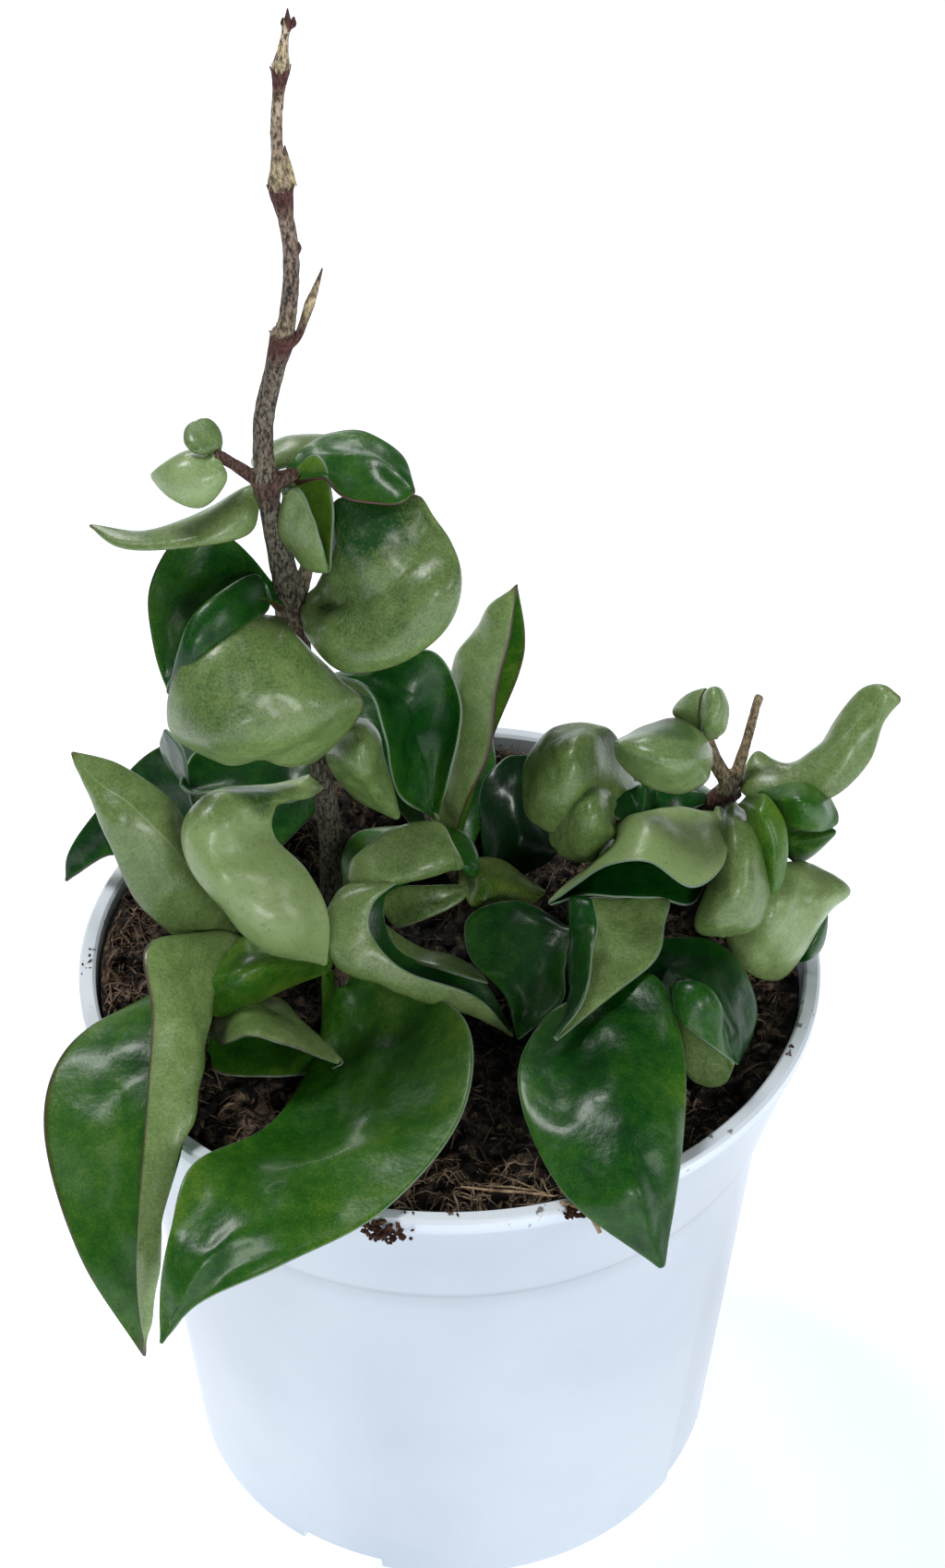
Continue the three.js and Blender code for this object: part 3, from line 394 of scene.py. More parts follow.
def build_soil(material):
    edge = soil_radius()
    shelf = POT["height"] - POT["collar_depth"] + POT["shelf_top"]
    under = shelf - POT["shelf_top"] - POT["shelf_under"]
    bottom = POT["foot_height"] + POT["floor"] + SOIL["gap"]
    soil = turned("potting_soil", [
        (POT["foot"] - POT["wall"], bottom),
        (POT["body"] - POT["wall"] - SOIL["gap"], under),
        (POT["collar"] - POT["wall"] - SOIL["gap"], shelf),
        (edge, SOIL["wall_height"]),
    ], SOIL["sides"])
    top = SOIL["wall_height"] * MM
    bpy.ops.object.mode_set(mode="EDIT")
    bpy.ops.mesh.select_all(action="DESELECT")
    mesh = bmesh.from_edit_mesh(soil.data)
    lid = max(mesh.faces, key=lambda face: face.calc_center_median().z)
    lid.select = True
    bmesh.update_edit_mesh(soil.data)
    wide = edge
    for i in range(1, SOIL["rings"]):
        narrow = edge * (1 - i / SOIL["rings"])
        bpy.ops.mesh.inset(thickness=(wide - narrow) * math.cos(math.pi / SOIL["sides"]) * MM)
        wide = narrow
    bpy.ops.mesh.poke()
    bpy.ops.object.mode_set(mode="OBJECT")
    for vertex in soil.data.vertices:
        if vertex.co.z > top - 0.01 * MM:
            vertex.co.z = soil_height(vertex.co.x / MM, vertex.co.y / MM) * MM
    bpy.ops.object.shade_smooth()
    soil.data.materials.append(material)
    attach(soil, "root")
    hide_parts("soil")


peat_material = peat("dark_peat", PEAT_TONES)
build_soil(peat_material)

# ---- Crumbs.
# Loose peat lies on the soil in lumps as wide as a lentil. A few rusty crumbs stick to the rim
# and to the outside of the lip, where they were spilt when the plant was potted.
CRUMBS = dict(count=2100, smallest=0.35, largest=2.3, wall=1.5, raised=0.25, clearance=(1.3, 0.4))
SPILLS = [  # x, y, z, spread and number of crumbs, sizes in mm
    dict(at=(-9.5, -60.3, 101.2), spread=(2.8, 0.5, 1.5), count=60, size=0.55),
    dict(at=(-11.5, -59.8, 102.6), spread=(2.0, 0.7, 0.6), count=30, size=0.45),
    dict(at=(18.9, -58.1, 103.1), spread=(2.2, 1.2, 0.3), count=36, size=0.5),
    dict(at=(53.0, -24.5, 103.1), spread=(1.0, 3.0, 0.2), count=7, size=0.3),
    dict(at=(-58.5, -3.0, 103.0), spread=(0.7, 9.0, 0.2), count=12, size=0.25),
    dict(at=(-2.0, -58.2, 103.1), spread=(7.0, 0.5, 0.2), count=10, size=0.25),
    dict(at=(56.5, 6.0, 103.0), spread=(0.8, 9.0, 0.2), count=9, size=0.25),
]
LUMP_SHAPES = dict(count=4, dents=0.55, fine=1.6, flat=0.62)
RUSTY_TONES = ((0.020, 0.009, 0.006), (0.085, 0.035, 0.020), (0.26, 0.15, 0.085))


def lump_shapes():
    """A few knobbly lumps of unit size, from which every crumb is copied."""
    shapes = []
    for i in range(LUMP_SHAPES["count"]):
        bpy.ops.mesh.primitive_ico_sphere_add(subdivisions=1, radius=1)
        lump = bpy.context.object
        for vertex in lump.data.vertices:
            spot = vertex.co * LUMP_SHAPES["fine"] + Vector((i * 9, 0, 0))
            vertex.co *= 1 + LUMP_SHAPES["dents"] * noise.noise(spot)
            vertex.co.z *= LUMP_SHAPES["flat"]
        shapes.append(lump)
    return shapes


def strewn(name, places, shapes, dice):
    """Copies of the lumps at the places, each with a size and a turn of its own, as one mesh."""
    heap = bmesh.new()
    for place, size in places:
        angle = dice.uniform(0, 6.28)
        axis = Vector((dice.gauss(0, 1), dice.gauss(0, 1), 2))
        scale = Matrix.Diagonal((size, size * dice.uniform(0.6, 1.1), size, 1))
        copy = dice.choice(shapes).data.copy()
        copy.transform(Matrix.Translation(place * MM) @ Matrix.Rotation(angle, 4, axis) @ scale)
        heap.from_mesh(copy)
        bpy.data.meshes.remove(copy)
    mesh = bpy.data.meshes.new(name)
    heap.to_mesh(mesh)
    heap.free()
    piece = bpy.data.objects.new(name, mesh)
    bpy.context.collection.objects.link(piece)
    return piece


def low_blades():
    """Search trees of the leaf solids that come near the soil, which loose bits keep off."""
    trees = []
    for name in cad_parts:
        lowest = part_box(name)[0][2]
        if name.startswith("leaf_") and lowest < (SOIL["top"] + 8) * MM:
            solid = bmesh.new()
            solid.from_mesh(bpy.data.objects[name].data)
            trees.append(BVHTree.FromBMesh(solid))
            solid.free()
    return trees


def is_clear(trees, point, reach):
    """Whether nothing of the low leaves is within reach of the point, both in mm."""
    return all(tree.find_nearest(Vector(point) * MM, reach * MM)[0] is None for tree in trees)


def at_angle(angle, reach):
    return reach * math.cos(angle), reach * math.sin(angle)


def on_soil(dice, margin):
    """Any place on the soil that is at least the margin from the wall."""
    reach = (soil_radius() - margin) * math.sqrt(dice.random())
    return at_angle(dice.uniform(0, 2 * math.pi), reach)


def between_sizes(small, large, share):
    return small + (large - small) * share


def build_crumbs(material, rusty):
    dice = random.Random(11)
    shapes = lump_shapes()
    blades = low_blades()
    loose = []
    for _ in range(CRUMBS["count"]):
        x, y = on_soil(dice, CRUMBS["wall"])
        size = between_sizes(CRUMBS["smallest"], CRUMBS["largest"], dice.random() ** 3)
        place = Vector((x, y, soil_height(x, y) + CRUMBS["raised"] * size))
        by_size, least = CRUMBS["clearance"]
        if is_clear(blades, place, by_size * size + least):
            loose.append((place, size * MM))
    lying = strewn("loose_crumbs", loose, shapes, dice)
    spilt = []
    for spill in SPILLS:
        for _ in range(spill["count"]):
            shifts = [dice.gauss(0, 0.5) * reach for reach in spill["spread"]]
            place = Vector([middle + shift for middle, shift in zip(spill["at"], shifts)])
            spilt.append((place, spill["size"] * dice.uniform(0.5, 1.3) * MM))
    stuck = strewn("spilt_crumbs", spilt, shapes, dice)
    for shape in shapes:
        bpy.data.objects.remove(shape)
    for piece, stuff in ((lying, material), (stuck, rusty)):
        for face in piece.data.polygons:
            face.use_smooth = True
        piece.data.materials.append(stuff)
        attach(piece, "root")


build_crumbs(peat_material, peat("rusty_crumbs", RUSTY_TONES))

# ---- Fibres, chips and shreds of wood.
# Tan strands of coir, flat chips and bits of bark are mixed through the peat and stick out of
# it. There is straw at the front, coir packed against the wall at the left and the back, and a
# shred of pale wood that hangs over the rim.
FIBRES = dict(count=1300, shortest=2.0, longest=10.0, thin=0.05, thick=0.17)
STRAW = dict(
    count=420, first_degrees=-128, last_degrees=-48, deep=13,
    shortest=1.5, longest=6, thin=0.09, thick=0.26)
CHIPS = dict(count=1500, shortest=0.8, longest=5.0, thin=0.10, thick=0.36)
COIR = dict(
    shortest=1.0, longest=5.0, thin=0.07, thick=0.30, gap=0.5, slope=2.2, sunk=0.4,
    leans=(1, 1.2, 0.45), arch=0.3, wall=0.3)
WALL_COIR = [  # tufts against the wall, left and at the back
    dict(count=900, first_degrees=150, last_degrees=212, deep=5.5, rise=4.2, upright=0),
    dict(count=170, first_degrees=70, last_degrees=83, deep=2, rise=4.5, upright=1.0),
]
WALL_CLEARANCE, LEAF_CLEARANCE = 0.6, 0.8
WOOD = [  # shreds of pale wood on and inside the rim at the front: points and thickness in mm
    ([(1.5, -51.3, 101.6), (6, -52.4, 101.9), (10.5, -53, 102.1), (15.5, -54.6, 102.9)], 0.36),
    ([(4, -50.5, 100.9), (9, -51.3, 101.4), (13, -52.6, 101.9)], 0.26),
    ([(9, -48.5, 100.4), (12, -50.8, 100.8), (14, -53, 101.5)], 0.22),
    ([(16.3, -54.1, 103.4), (18.4, -55.6, 103.9), (20.6, -57.6, 103.6), (22, -59.7, 102.4)], 0.72),
    ([(16.2, -56.3, 103.4), (18.8, -57.5, 103.8), (21, -59.6, 103.3), (21.9, -61.2, 101.9)], 0.7),
]
FIBRE_LOOKS = {  # the stuff of each piece: its name, its dark and pale tones, how fine it is
    "peat_fibres": ("tan_fibre", (0.045, 0.028, 0.018), (0.34, 0.24, 0.145), 75),
    "front_straw": ("pale_straw", (0.10, 0.065, 0.04), (0.50, 0.37, 0.23), 160),
    "peat_chips": ("brown_chips", (0.020, 0.012, 0.009), (0.32, 0.22, 0.13), 210),
    "wall_coir": ("red_coir", (0.050, 0.022, 0.014), (0.36, 0.24, 0.16), 260),
    "wood_shreds": ("pale_wood", (0.16, 0.09, 0.045), (0.52, 0.38, 0.22), 700),
}


def round_lines(lines, roundness):
    """Round strands as one mesh. A line is its points, each with its radius, in mm."""
    bpy.ops.curve.primitive_nurbs_path_add()
    curve = bpy.context.object
    curve.location = (0, 0, 0)
    curve.data.splines.clear()
    for line in lines:
        spline = curve.data.splines.new("POLY")
        spline.points.add(len(line) - 1)
        for (point, radius), spot in zip(line, spline.points):
            spot.co = (*(Vector(point) * MM), 1)
            spot.radius = radius
    curve.data.dimensions = "3D"
    curve.data.bevel_depth = MM
    curve.data.bevel_resolution = roundness
    curve.data.use_fill_caps = True
    pick(curve)
    bpy.ops.object.convert(target="MESH")
    return bpy.context.object


def tapered(points, thickness):
    """The points of a strand with its radius at each, half as thick at both ends."""
    last = len(points) - 1
    return [(p, thickness * (1 - 0.5 * abs(2 * i / last - 1))) for i, p in enumerate(points)]


def fibre_stuff(name, dark, pale, fineness):
    material, tree, shader = new_material(name, Roughness=0.8)
    place = add_node(tree, "TexCoord", "Object")
    colour = ramp(tree, clouds(tree, place, Scale=fineness, Detail=4), (0.36, dark), (0.68, pale))
    # Darker in the middle under the leaves: painted shade.
    dressed(tree, shader, shaded_middle(tree, place, colour))
    return material


def strand(dice, start, length, bend, lift, hump, steps):
    """A strand that starts at a place and lies on the soil, bent as it goes; None off the soil."""
    x, y = start
    heading = dice.uniform(0, 2 * math.pi)
    points = []
    for i in range(steps + 1):
        if math.hypot(x, y) > soil_radius() - WALL_CLEARANCE:
            break
        rise = lift + hump * math.sin(math.pi * i / steps)
        points.append((x, y, soil_height(x, y) + rise))
        x += math.cos(heading) * length / steps
        y += math.sin(heading) * length / steps
        heading += bend
    return points if len(points) > 2 else None


def scattered(dice, blades, kind, start, length, bend, lift, hump, thick, steps=4):
    """Strands of one kind that lie on the soil, clear of the leaves. Each is drawn by lot."""
    lines = []
    for _ in range(kind["count"]):
        place = start()
        long = between_sizes(kind["shortest"], kind["longest"], length())
        points = strand(dice, place, long, dice.gauss(0, bend), dice.uniform(*lift), hump(), steps)
        if points and all(is_clear(blades, point, LEAF_CLEARANCE) for point in points):
            lines.append(tapered(points, between_sizes(kind["thin"], kind["thick"], thick())))
    return lines


def front_place(dice):
    angle = math.radians(dice.uniform(STRAW["first_degrees"], STRAW["last_degrees"]))
    return at_angle(angle, soil_radius() - WALL_CLEARANCE - STRAW["deep"] * dice.random() ** 1.6)


def coir_tufts(dice):
    """Short strands that lean any way on the slope of coir against the wall."""
    lines = []
    for patch in WALL_COIR:
        for _ in range(patch["count"]):
            angle = math.radians(dice.uniform(patch["first_degrees"], patch["last_degrees"]))
            back = COIR["gap"] + patch["deep"] * dice.random()
            x, y = at_angle(angle, soil_radius() - back)
            climb = patch["rise"] * dice.random() * math.exp(-back / COIR["slope"])
            foot = Vector((x, y, soil_height(x, y) - COIR["sunk"] + climb))
            lean = [dice.gauss(0, spread) for spread in COIR["leans"]]
            way = Vector((*lean[:2], lean[2] + patch["upright"])).normalized()
            way *= between_sizes(COIR["shortest"], COIR["longest"], dice.random() ** 2)
            ends = [foot, foot + way * 0.5 + Vector((0, 0, COIR["arch"])), foot + way]
            if all(math.hypot(p.x, p.y) < soil_radius() - COIR["wall"] for p in ends):
                thickness = between_sizes(COIR["thin"], COIR["thick"], dice.random() ** 2)
                lines.append(tapered(ends, thickness))
    return lines


def build_fibres():
    dice = random.Random(5)
    blades = low_blades()

    def mostly_small():
        return dice.random() ** 2

    def nearly_all_small():
        return dice.random() ** 3

    strands = {
        "peat_fibres": scattered(
            dice, blades, FIBRES, lambda: on_soil(dice, 3), mostly_small,
            bend=0.12, lift=(0, 0.5), hump=lambda: nearly_all_small() * 2,
            thick=nearly_all_small),
        "front_straw": scattered(
            dice, blades, STRAW, lambda: front_place(dice), dice.random,
            bend=0.1, lift=(0.1, 0.8), hump=lambda: mostly_small() * 1.6, thick=mostly_small),
        "peat_chips": scattered(
            dice, blades, CHIPS, lambda: on_soil(dice, 2), mostly_small,
            bend=0.1, lift=(-0.1, 0.4), hump=lambda: dice.uniform(-0.3, 0.5),
            thick=mostly_small, steps=2),
        "wall_coir": coir_tufts(dice),
        "wood_shreds": [tapered(points, thickness) for points, thickness in WOOD],
    }
    for name, lines in strands.items():
        piece = round_lines(lines, roundness=0)
        piece.name = name
        piece.data.materials.append(fibre_stuff(*FIBRE_LOOKS[name]))
        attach(piece, "root")


build_fibres()

# ---- The stems.
# Round woody stems, about 3 mm thick, grow out of the soil and are swollen at the scars where
# pairs of leaves grew. The bark is stippled grey-brown, red-brown at a scar and cream just
# above it; twigs, buds and the one pointed scale grow out of the bark.

# In mm: a girth is the radius by height, and thick is the radius along a twig's or a bud's
# route. A scar is its height and how ruddy and how pale the bark is there, and so are tints.
STEMS = {
    "main_stem": dict(
        route=[
            (-19, 5, 88), (-19, 4, 112), (-19, 3, 128), (-21, 1, 150), (-23, 0, 170),
            (-24.6, 0, 182), (-26, 0, 193.5), (-26, 0, 204), (-23.9, 0, 213.4), (-21.9, 0, 221.5),
            (-21.1, 0, 231), (-22, 0, 240), (-22.4, 0, 249), (-21.6, 0, 257.5), (-20.2, 0, 266.4),
        ],
        girth=[
            (88, 1.95), (128, 1.85), (150, 1.8), (164, 1.85), (168, 2.2), (171, 2.7),
            (173.5, 2.1), (182, 1.9), (190, 1.6), (194, 2.2), (196.5, 1.55), (213, 1.45),
            (216, 1.7), (218.4, 1.95), (219.4, 1.3), (228, 1.15), (236.5, 1.12), (239, 1.45),
            (241.4, 1.9), (244, 1.25), (246.5, 0.85), (255, 0.82), (256.6, 0.95), (258, 1.3),
            (259.2, 1.2), (261, 0.8), (262.5, 0.62), (265, 0.6), (266.4, 0.2),
        ],
        scars=[
            (168.5, 0.6, 0.15), (194.5, 0.7, 0.1), (218.3, 1, 0.35), (241.2, 1, 0.85),
            (258.2, 1, 1),
        ],
        twigs=[
            dict(route=[(-26, 0, 193), (-30, 0, 196.5), (-33, -1, 199.5)],
                 thick=(1.1, 0.9, 0.8), tint=(0.75, 0)),
            dict(route=[(-26, 0, 193.5), (-23.4, -0.6, 195), (-21.6, -1, 196.2)],
                 thick=(1.5, 1.2, 0.9), tint=(0.6, 0)),
            dict(route=[(-23.6, 0, 170.5), (-21.7, 1, 174.5), (-20.7, 1.4, 178.5),
                        (-20.9, 1.5, 181)],
                 thick=(1.4, 1.2, 1.0, 0.5), tint=(0.1, 0.15)),
        ],
        buds=[
            dict(route=[(-22.2, -0.8, 216.4), (-20.7, -0.6, 218.2), (-19.7, -0.7, 220.8),
                        (-18.8, -0.6, 223.5), (-17.7, -0.4, 226.5), (-16.9, 0, 228.8)],
                 thick=(0.5, 0.6, 0.62, 0.75, 0.42, 0.12), flat=0.5,
                 tints=[(0.9, 0), (0.9, 0), (0.45, 0.5), (0.1, 0.9), (0.25, 0.7), (0.9, 0.1)]),
            dict(route=[(-20.3, -0.1, 263.9), (-20.3, -0.2, 265.6), (-20.25, 0, 267)],
                 thick=(0.4, 0.45, 0.08), tints=[(0.9, 0), (1, 0)]),
            dict(route=[(-20.1, -0.1, 264.3), (-19.6, -0.3, 265), (-19.5, -0.2, 265.9)],
                 thick=(0.3, 0.5, 0.15), tints=[(1, 0), (1, 0)]),
            dict(route=[(-20.5, 0, 264.3), (-20.95, -0.1, 265), (-20.9, 0, 265.7)],
                 thick=(0.25, 0.35, 0.1), tints=[(1, 0), (1, 0)]),
            dict(route=[(-20.8, 0, 261.8), (-21.2, -0.2, 262.5), (-21.15, -0.1, 263)],
                 thick=(0.3, 0.3, 0.1), tints=[(0.3, 0.4), (0.7, 0)]),
            dict(route=[(-20.6, 0, 241.4), (-20.9, 0, 244), (-21.3, 0, 246.4), (-21.35, 0, 247.4)],
                 thick=(0.7, 0.5, 0.3, 0.1), flat=0.6,
                 tints=[(0.1, 1), (0, 1), (0.1, 0.8), (0.8, 0)]),
            dict(route=[(-20.4, 0, 230.9), (-20, -0.1, 232), (-20.05, 0, 232.9)],
                 thick=(0.35, 0.4, 0.12), tints=[(0.8, 0), (0.9, 0)]),
        ],
    ),
    "left_stem": dict(
        route=[(-29, 6, 88), (-29, 1, 104), (-31, 6, 116), (-33, 11, 126)],
        girth=[(88, 1.7), (102, 1.6), (106, 1.95), (110, 1.5), (126, 1.3)],
        scars=[(106, 0.7, 0.1)],
    ),
    "centre_stem": dict(
        route=[(-19, -6, 88), (-17, -10, 106), (-15, -7, 116), (-13, -5, 123)],
        girth=[(88, 1.7), (107, 1.6), (111, 1.9), (115, 1.4), (123, 1.2)],
        scars=[(111, 0.7, 0.1)],
    ),
    "right_stem": dict(
        route=[(22, 20, 88), (30, 15, 108), (39, 10, 122), (45, 8, 130)],
        girth=[(88, 1.9), (110, 1.8), (114, 2.2), (118, 1.8), (127, 1.75), (130, 2.1)],
        scars=[(114, 0.7, 0.1), (129.5, 0.8, 0.2)],
        twigs=[
            dict(route=[(45, 8, 130), (47, 9, 139), (48.5, 10, 147)],
                 thick=(1.2, 0.8, 0.7), tint=(0.45, 0.75)),
            dict(route=[(45, 8, 129.5), (41.5, 8, 137), (40.5, 8, 140.5)],
                 thick=(1.4, 1.2, 1.1), tint=(0.2, 0.3)),
        ],
    ),
    "front_right_stem": dict(
        route=[(20, 2, 88), (21, -6, 108), (22, -13, 116), (24, -21, 114.5)],
        girth=[(88, 1.8), (107, 1.7), (112, 1.9), (116, 1.4)], scars=[(112, 0.7, 0.1)],
    ),
    "rear_stem": dict(
        route=[(2, 12, 88), (3, 14, 103), (0, 12, 112), (-4, 20, 119)],
        girth=[(88, 1.7), (103, 1.6), (107, 1.9), (111, 1.5), (119, 1.2)],
        scars=[(107, 0.7, 0.1)],
    ),
}
# The bark's forms: how far one rises, in mm, and how fine it is. Ridges run up the stem.
BARK = dict(voxel=0.26, ridge=(0.05, 1.7, 0.3), lump=(0.10, 0.7), scar=(0.16, 1.9), scar_reach=3.2)
# The tint at a scar, in mm above it: ruddy from below it to just over it, then cream.
SCAR_TINT = dict(
    reach=7, ruddy_from=5, ruddy_over=3.2, ruddy_to=0.3, ragged=((0.5, 2.2), (0.25, 5)),
    cream=[(0, 0), (0.5, 1), (2.6, 1), (6, 0)], patchy=(0.65, 0.9, 0.9))
TWIG_LINE = dict(steps=20, in_stem=5, reach=0.4)
STEM_LINE_STEPS = 400
BARK_BY_HEIGHT = (
    (0.0, (0.070, 0.066, 0.050)), (0.32, (0.088, 0.084, 0.062)), (0.55, (0.118, 0.108, 0.084)),
    (0.74, (0.140, 0.108, 0.088)), (0.87, (0.215, 0.160, 0.120)), (1.0, (0.40, 0.33, 0.24)),
)
BARK_AGES = dict(From_Min=0.12, From_Max=0.262)  # from old bark low down to the young tip, in m
BLOTCH, CREAM, RUDDY = (0.100, 0.048, 0.034), (0.48, 0.40, 0.24), (0.075, 0.028, 0.022)
PRICKLES = dict(
    count=9, length=0.9, varies=(0.5, 1.1), rooted=0.86, leans=0.15, thick=0.16, foot=1.4,
    point=0.05)


def along_curve(points, t):
    """The point at the share t of a smooth line through the points."""
    reach = t * (len(points) - 1)
    i = min(int(reach), len(points) - 2)
    u = reach - i
    b, c = points[i], points[i + 1]
    a = points[i - 1] if i > 0 else 2 * b - c
    d = points[i + 2] if i + 2 < len(points) else 2 * c - b
    return 0.5 * (2 * b + (c - a) * u + (2 * a - 5 * b + 4 * c - d) * u * u
                  + (3 * b - a - 3 * c + d) * u ** 3)


def smooth_line(route, steps):
    """The route as a smooth line of many points."""
    points = [Vector(p) for p in route]
    return [along_curve(points, i / steps) for i in range(steps + 1)]


def length_of(points):
    return sum((b - a).length for a, b in zip(points, points[1:]))


def between(stops, at):
    """The value at a place between the nearest two of the stops, each a place and its value."""
    for (low, first), (high, second) in zip(stops, stops[1:]):
        if at <= high:
            return first + (second - first) * max(0.0, (at - low) / (high - low))
    return stops[-1][1]


def swept(route, girth, step=0.6):
    """A closed round tube along a route. The girth is the stops of its radius by height."""
    count = max(8, round(length_of([Vector(p) for p in route]) / step))
    line = [(place, between(girth, place.z)) for place in smooth_line(route, count)]
    return round_lines([line], roundness=6)


def by_height(route, thick):
    """The stops of a twig's radius by height, for thicknesses given along its route."""
    return sorted((point[2], radius) for point, radius in zip(route, thick))


def bark_tint(piece, tint_at):
    """Writes how ruddy and how pale each point of the bark is."""
    tint = piece.data.attributes.new("bark_tint", "FLOAT_COLOR", "POINT")
    for vertex, spot in zip(piece.data.vertices, tint.data):
        ruddy, pale = tint_at(vertex.co / MM)
        spot.color = (max(0, min(1, ruddy)), max(0, min(1, pale)), 0, 1)


def scar_tint(point, knots):
    """A scar is red-brown under its ragged upper edge, and the bark above it is cream."""
    tint = SCAR_TINT
    ruddy = pale = 0.0
    for knot, dark, light in knots:
        if (point - knot).length > tint["reach"]:
            continue
        above = point.z - knot.z
        for rise, fine in tint["ragged"]:
            above += rise * noise.noise(point * fine)
        if above < tint["ruddy_to"]:
            full = min(1, (above + tint["ruddy_from"]) / tint["ruddy_over"])
            ruddy = max(ruddy, dark * full)
        least, more, fine = tint["patchy"]
        patch = least + more * noise.noise(point * fine)
        pale = max(pale, light * patch * between(tint["cream"], above))
    return ruddy, pale


def twig_tint(point, twigs):
    """The tint of the twig that the point is on, past the stem it grows from."""
    for line, reach, tint in twigs:
        nearest = min(line[TWIG_LINE["in_stem"]:], key=lambda p: (p - point).length_squared)
        if (nearest - point).length < reach:
            return tint
    return 0, 0


def build_bud(bud):
    """A bud or a scale: a pointed tube that may be flattened, tinted along its length."""
    points = [Vector(p) for p in bud["route"]]
    tube = swept(bud["route"], by_height(bud["route"], bud["thick"]), step=0.2)
    for vertex in tube.data.vertices:
        middle = between([(p.z, p.y) for p in points], vertex.co.z / MM)
        vertex.co.y = (middle + (vertex.co.y / MM - middle) * bud.get("flat", 1)) * MM
    low, high = points[0].z, points[-1].z
    tints = bud["tints"]
    places = [low + (high - low) * i / (len(tints) - 1) for i in range(len(tints))]
    ruddy, pale = [list(zip(places, amounts)) for amounts in zip(*tints)]
    bark_tint(tube, lambda point: (between(ruddy, point.z), between(pale, point.z)))
    return tube


def prickles_on(knot, radius, dice):
    """Short stubs that stand on the ragged upper edge of a scar."""
    stubs = []
    for i in range(PRICKLES["count"]):
        angle = 2 * math.pi * (i + dice.random()) / PRICKLES["count"]
        out = Vector((math.cos(angle), math.sin(angle), 0))
        foot = knot + out * radius * PRICKLES["rooted"]
        height = PRICKLES["length"] * dice.uniform(*PRICKLES["varies"])
        tip = knot + out * (radius + PRICKLES["leans"]) + Vector((0, 0, height))
        thick = (PRICKLES["thick"] * PRICKLES["foot"], PRICKLES["thick"], PRICKLES["point"])
        route = [foot, (foot + tip) / 2, tip]
        stubs.append(build_bud(dict(route=route, thick=thick, tints=[(0.9, 0), (0.7, 0.2)])))
    return stubs


def bark():
    """Grey-brown bark, paler with height, stippled all over, and tinted at scars and twigs."""
    material, tree, shader = new_material("stippled_bark", Roughness=0.72, Specular_IOR_Level=0.3)
    place = add_node(tree, "TexCoord", "Object")
    along = add_node(tree, "Mapping", "Vector", {"Vector": place, "Scale": (1, 1, 0.42)})
    stipple = clouds(tree, along, Scale=2300, Detail=7, Roughness=0.7)
    height = add_node(tree, "SeparateXYZ", "Z", {"Vector": place})
    base = ramp(tree, in_range(tree, height, **BARK_AGES), *BARK_BY_HEIGHT)
    shade = ramp(tree, stipple, (0.42, (0.16, 0.13, 0.12)), (0.58, (1.85, 1.82, 1.78)))
    skin = blended(tree, 1, base, shade, "MULTIPLY")
    patches = ramp(tree, clouds(tree, along, Scale=210, Detail=5), (0.54, 0), (0.70, 0.6))
    tint = add_node(tree, "Attribute", "Color", attribute_name="bark_tint")
    ruddy = add_node(tree, "SeparateColor", "Red", {"Color": tint})
    pale = ruddy.node.outputs["Green"]
    for amount, colour in ((patches, BLOTCH), (pale, CREAM), (ruddy, RUDDY)):
        skin = blended(tree, amount, skin, blended(tree, 0.7, colour, shade, "MULTIPLY"))
    dressed(tree, shader, skin, stipple, strength=0.55, depth=0.0004)
    return material


def roughen_bark(body, knots):
    """Ridges along the stem, low lumps, and a rougher skin near a scar."""
    rise, across, up = BARK["ridge"]
    lump_rise, lump_fine = BARK["lump"]
    scar_rise, scar_fine = BARK["scar"]
    normals = [vertex.normal.copy() for vertex in body.data.vertices]
    for vertex, out in zip(body.data.vertices, normals):
        at = vertex.co / MM
        ridge = noise.fractal(Vector((at.x * across, at.y * across, at.z * up)), 0.8, 2.2, 3) * rise
        lump = noise.noise(at * lump_fine) * lump_rise
        near = max(1 - (at - knot).length / BARK["scar_reach"] for knot, _, _ in knots)
        rough = noise.noise(at * scar_fine) * scar_rise * max(0, near)
        vertex.co += out * (ridge + lump + rough) * MM
    modify(body, "SMOOTH", factor=0.4, iterations=2)


def join_as(name, pieces):
    pick(pieces[0])
    for piece in pieces:
        piece.select_set(True)
    if len(pieces) > 1:
        bpy.ops.object.join()
    pieces[0].name = name
    return pieces[0]


def build_stem(name, stem, material):
    shapes = stem.get("twigs", ())
    tubes = [swept(stem["route"], stem["girth"])]
    tubes += [swept(twig["route"], by_height(twig["route"], twig["thick"])) for twig in shapes]
    body = join_as(name + "_bark", tubes)
    modify(body, "REMESH", mode="VOXEL", voxel_size=BARK["voxel"] * MM)
    line = smooth_line(stem["route"], STEM_LINE_STEPS)
    knots = [
        (min(line, key=lambda p: abs(p.z - height)), dark, light)
        for height, dark, light in stem["scars"]]
    roughen_bark(body, knots)
    twigs = [
        (smooth_line(twig["route"], TWIG_LINE["steps"]), max(twig["thick"]) + TWIG_LINE["reach"],
         twig["tint"]) for twig in shapes]
    bark_tint(body, lambda point: [
        max(pair) for pair in zip(scar_tint(point, knots), twig_tint(point, twigs))])
    grown = [build_bud(bud) for bud in stem.get("buds", ())]
    dice = random.Random(3)
    for knot, dark, _ in knots:
        if dark == 1:
            grown += prickles_on(knot, between(stem["girth"], knot.z), dice)
    piece = join_as(name + "_bark", [body, *grown])
    bpy.ops.object.shade_smooth()
    piece.data.materials.clear()
    piece.data.materials.append(material)
    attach(piece, "root")
    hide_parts(name)


bark_material = bark()
for stem_name, stem_shape in STEMS.items():
    build_stem(stem_name, stem_shape, bark_material)

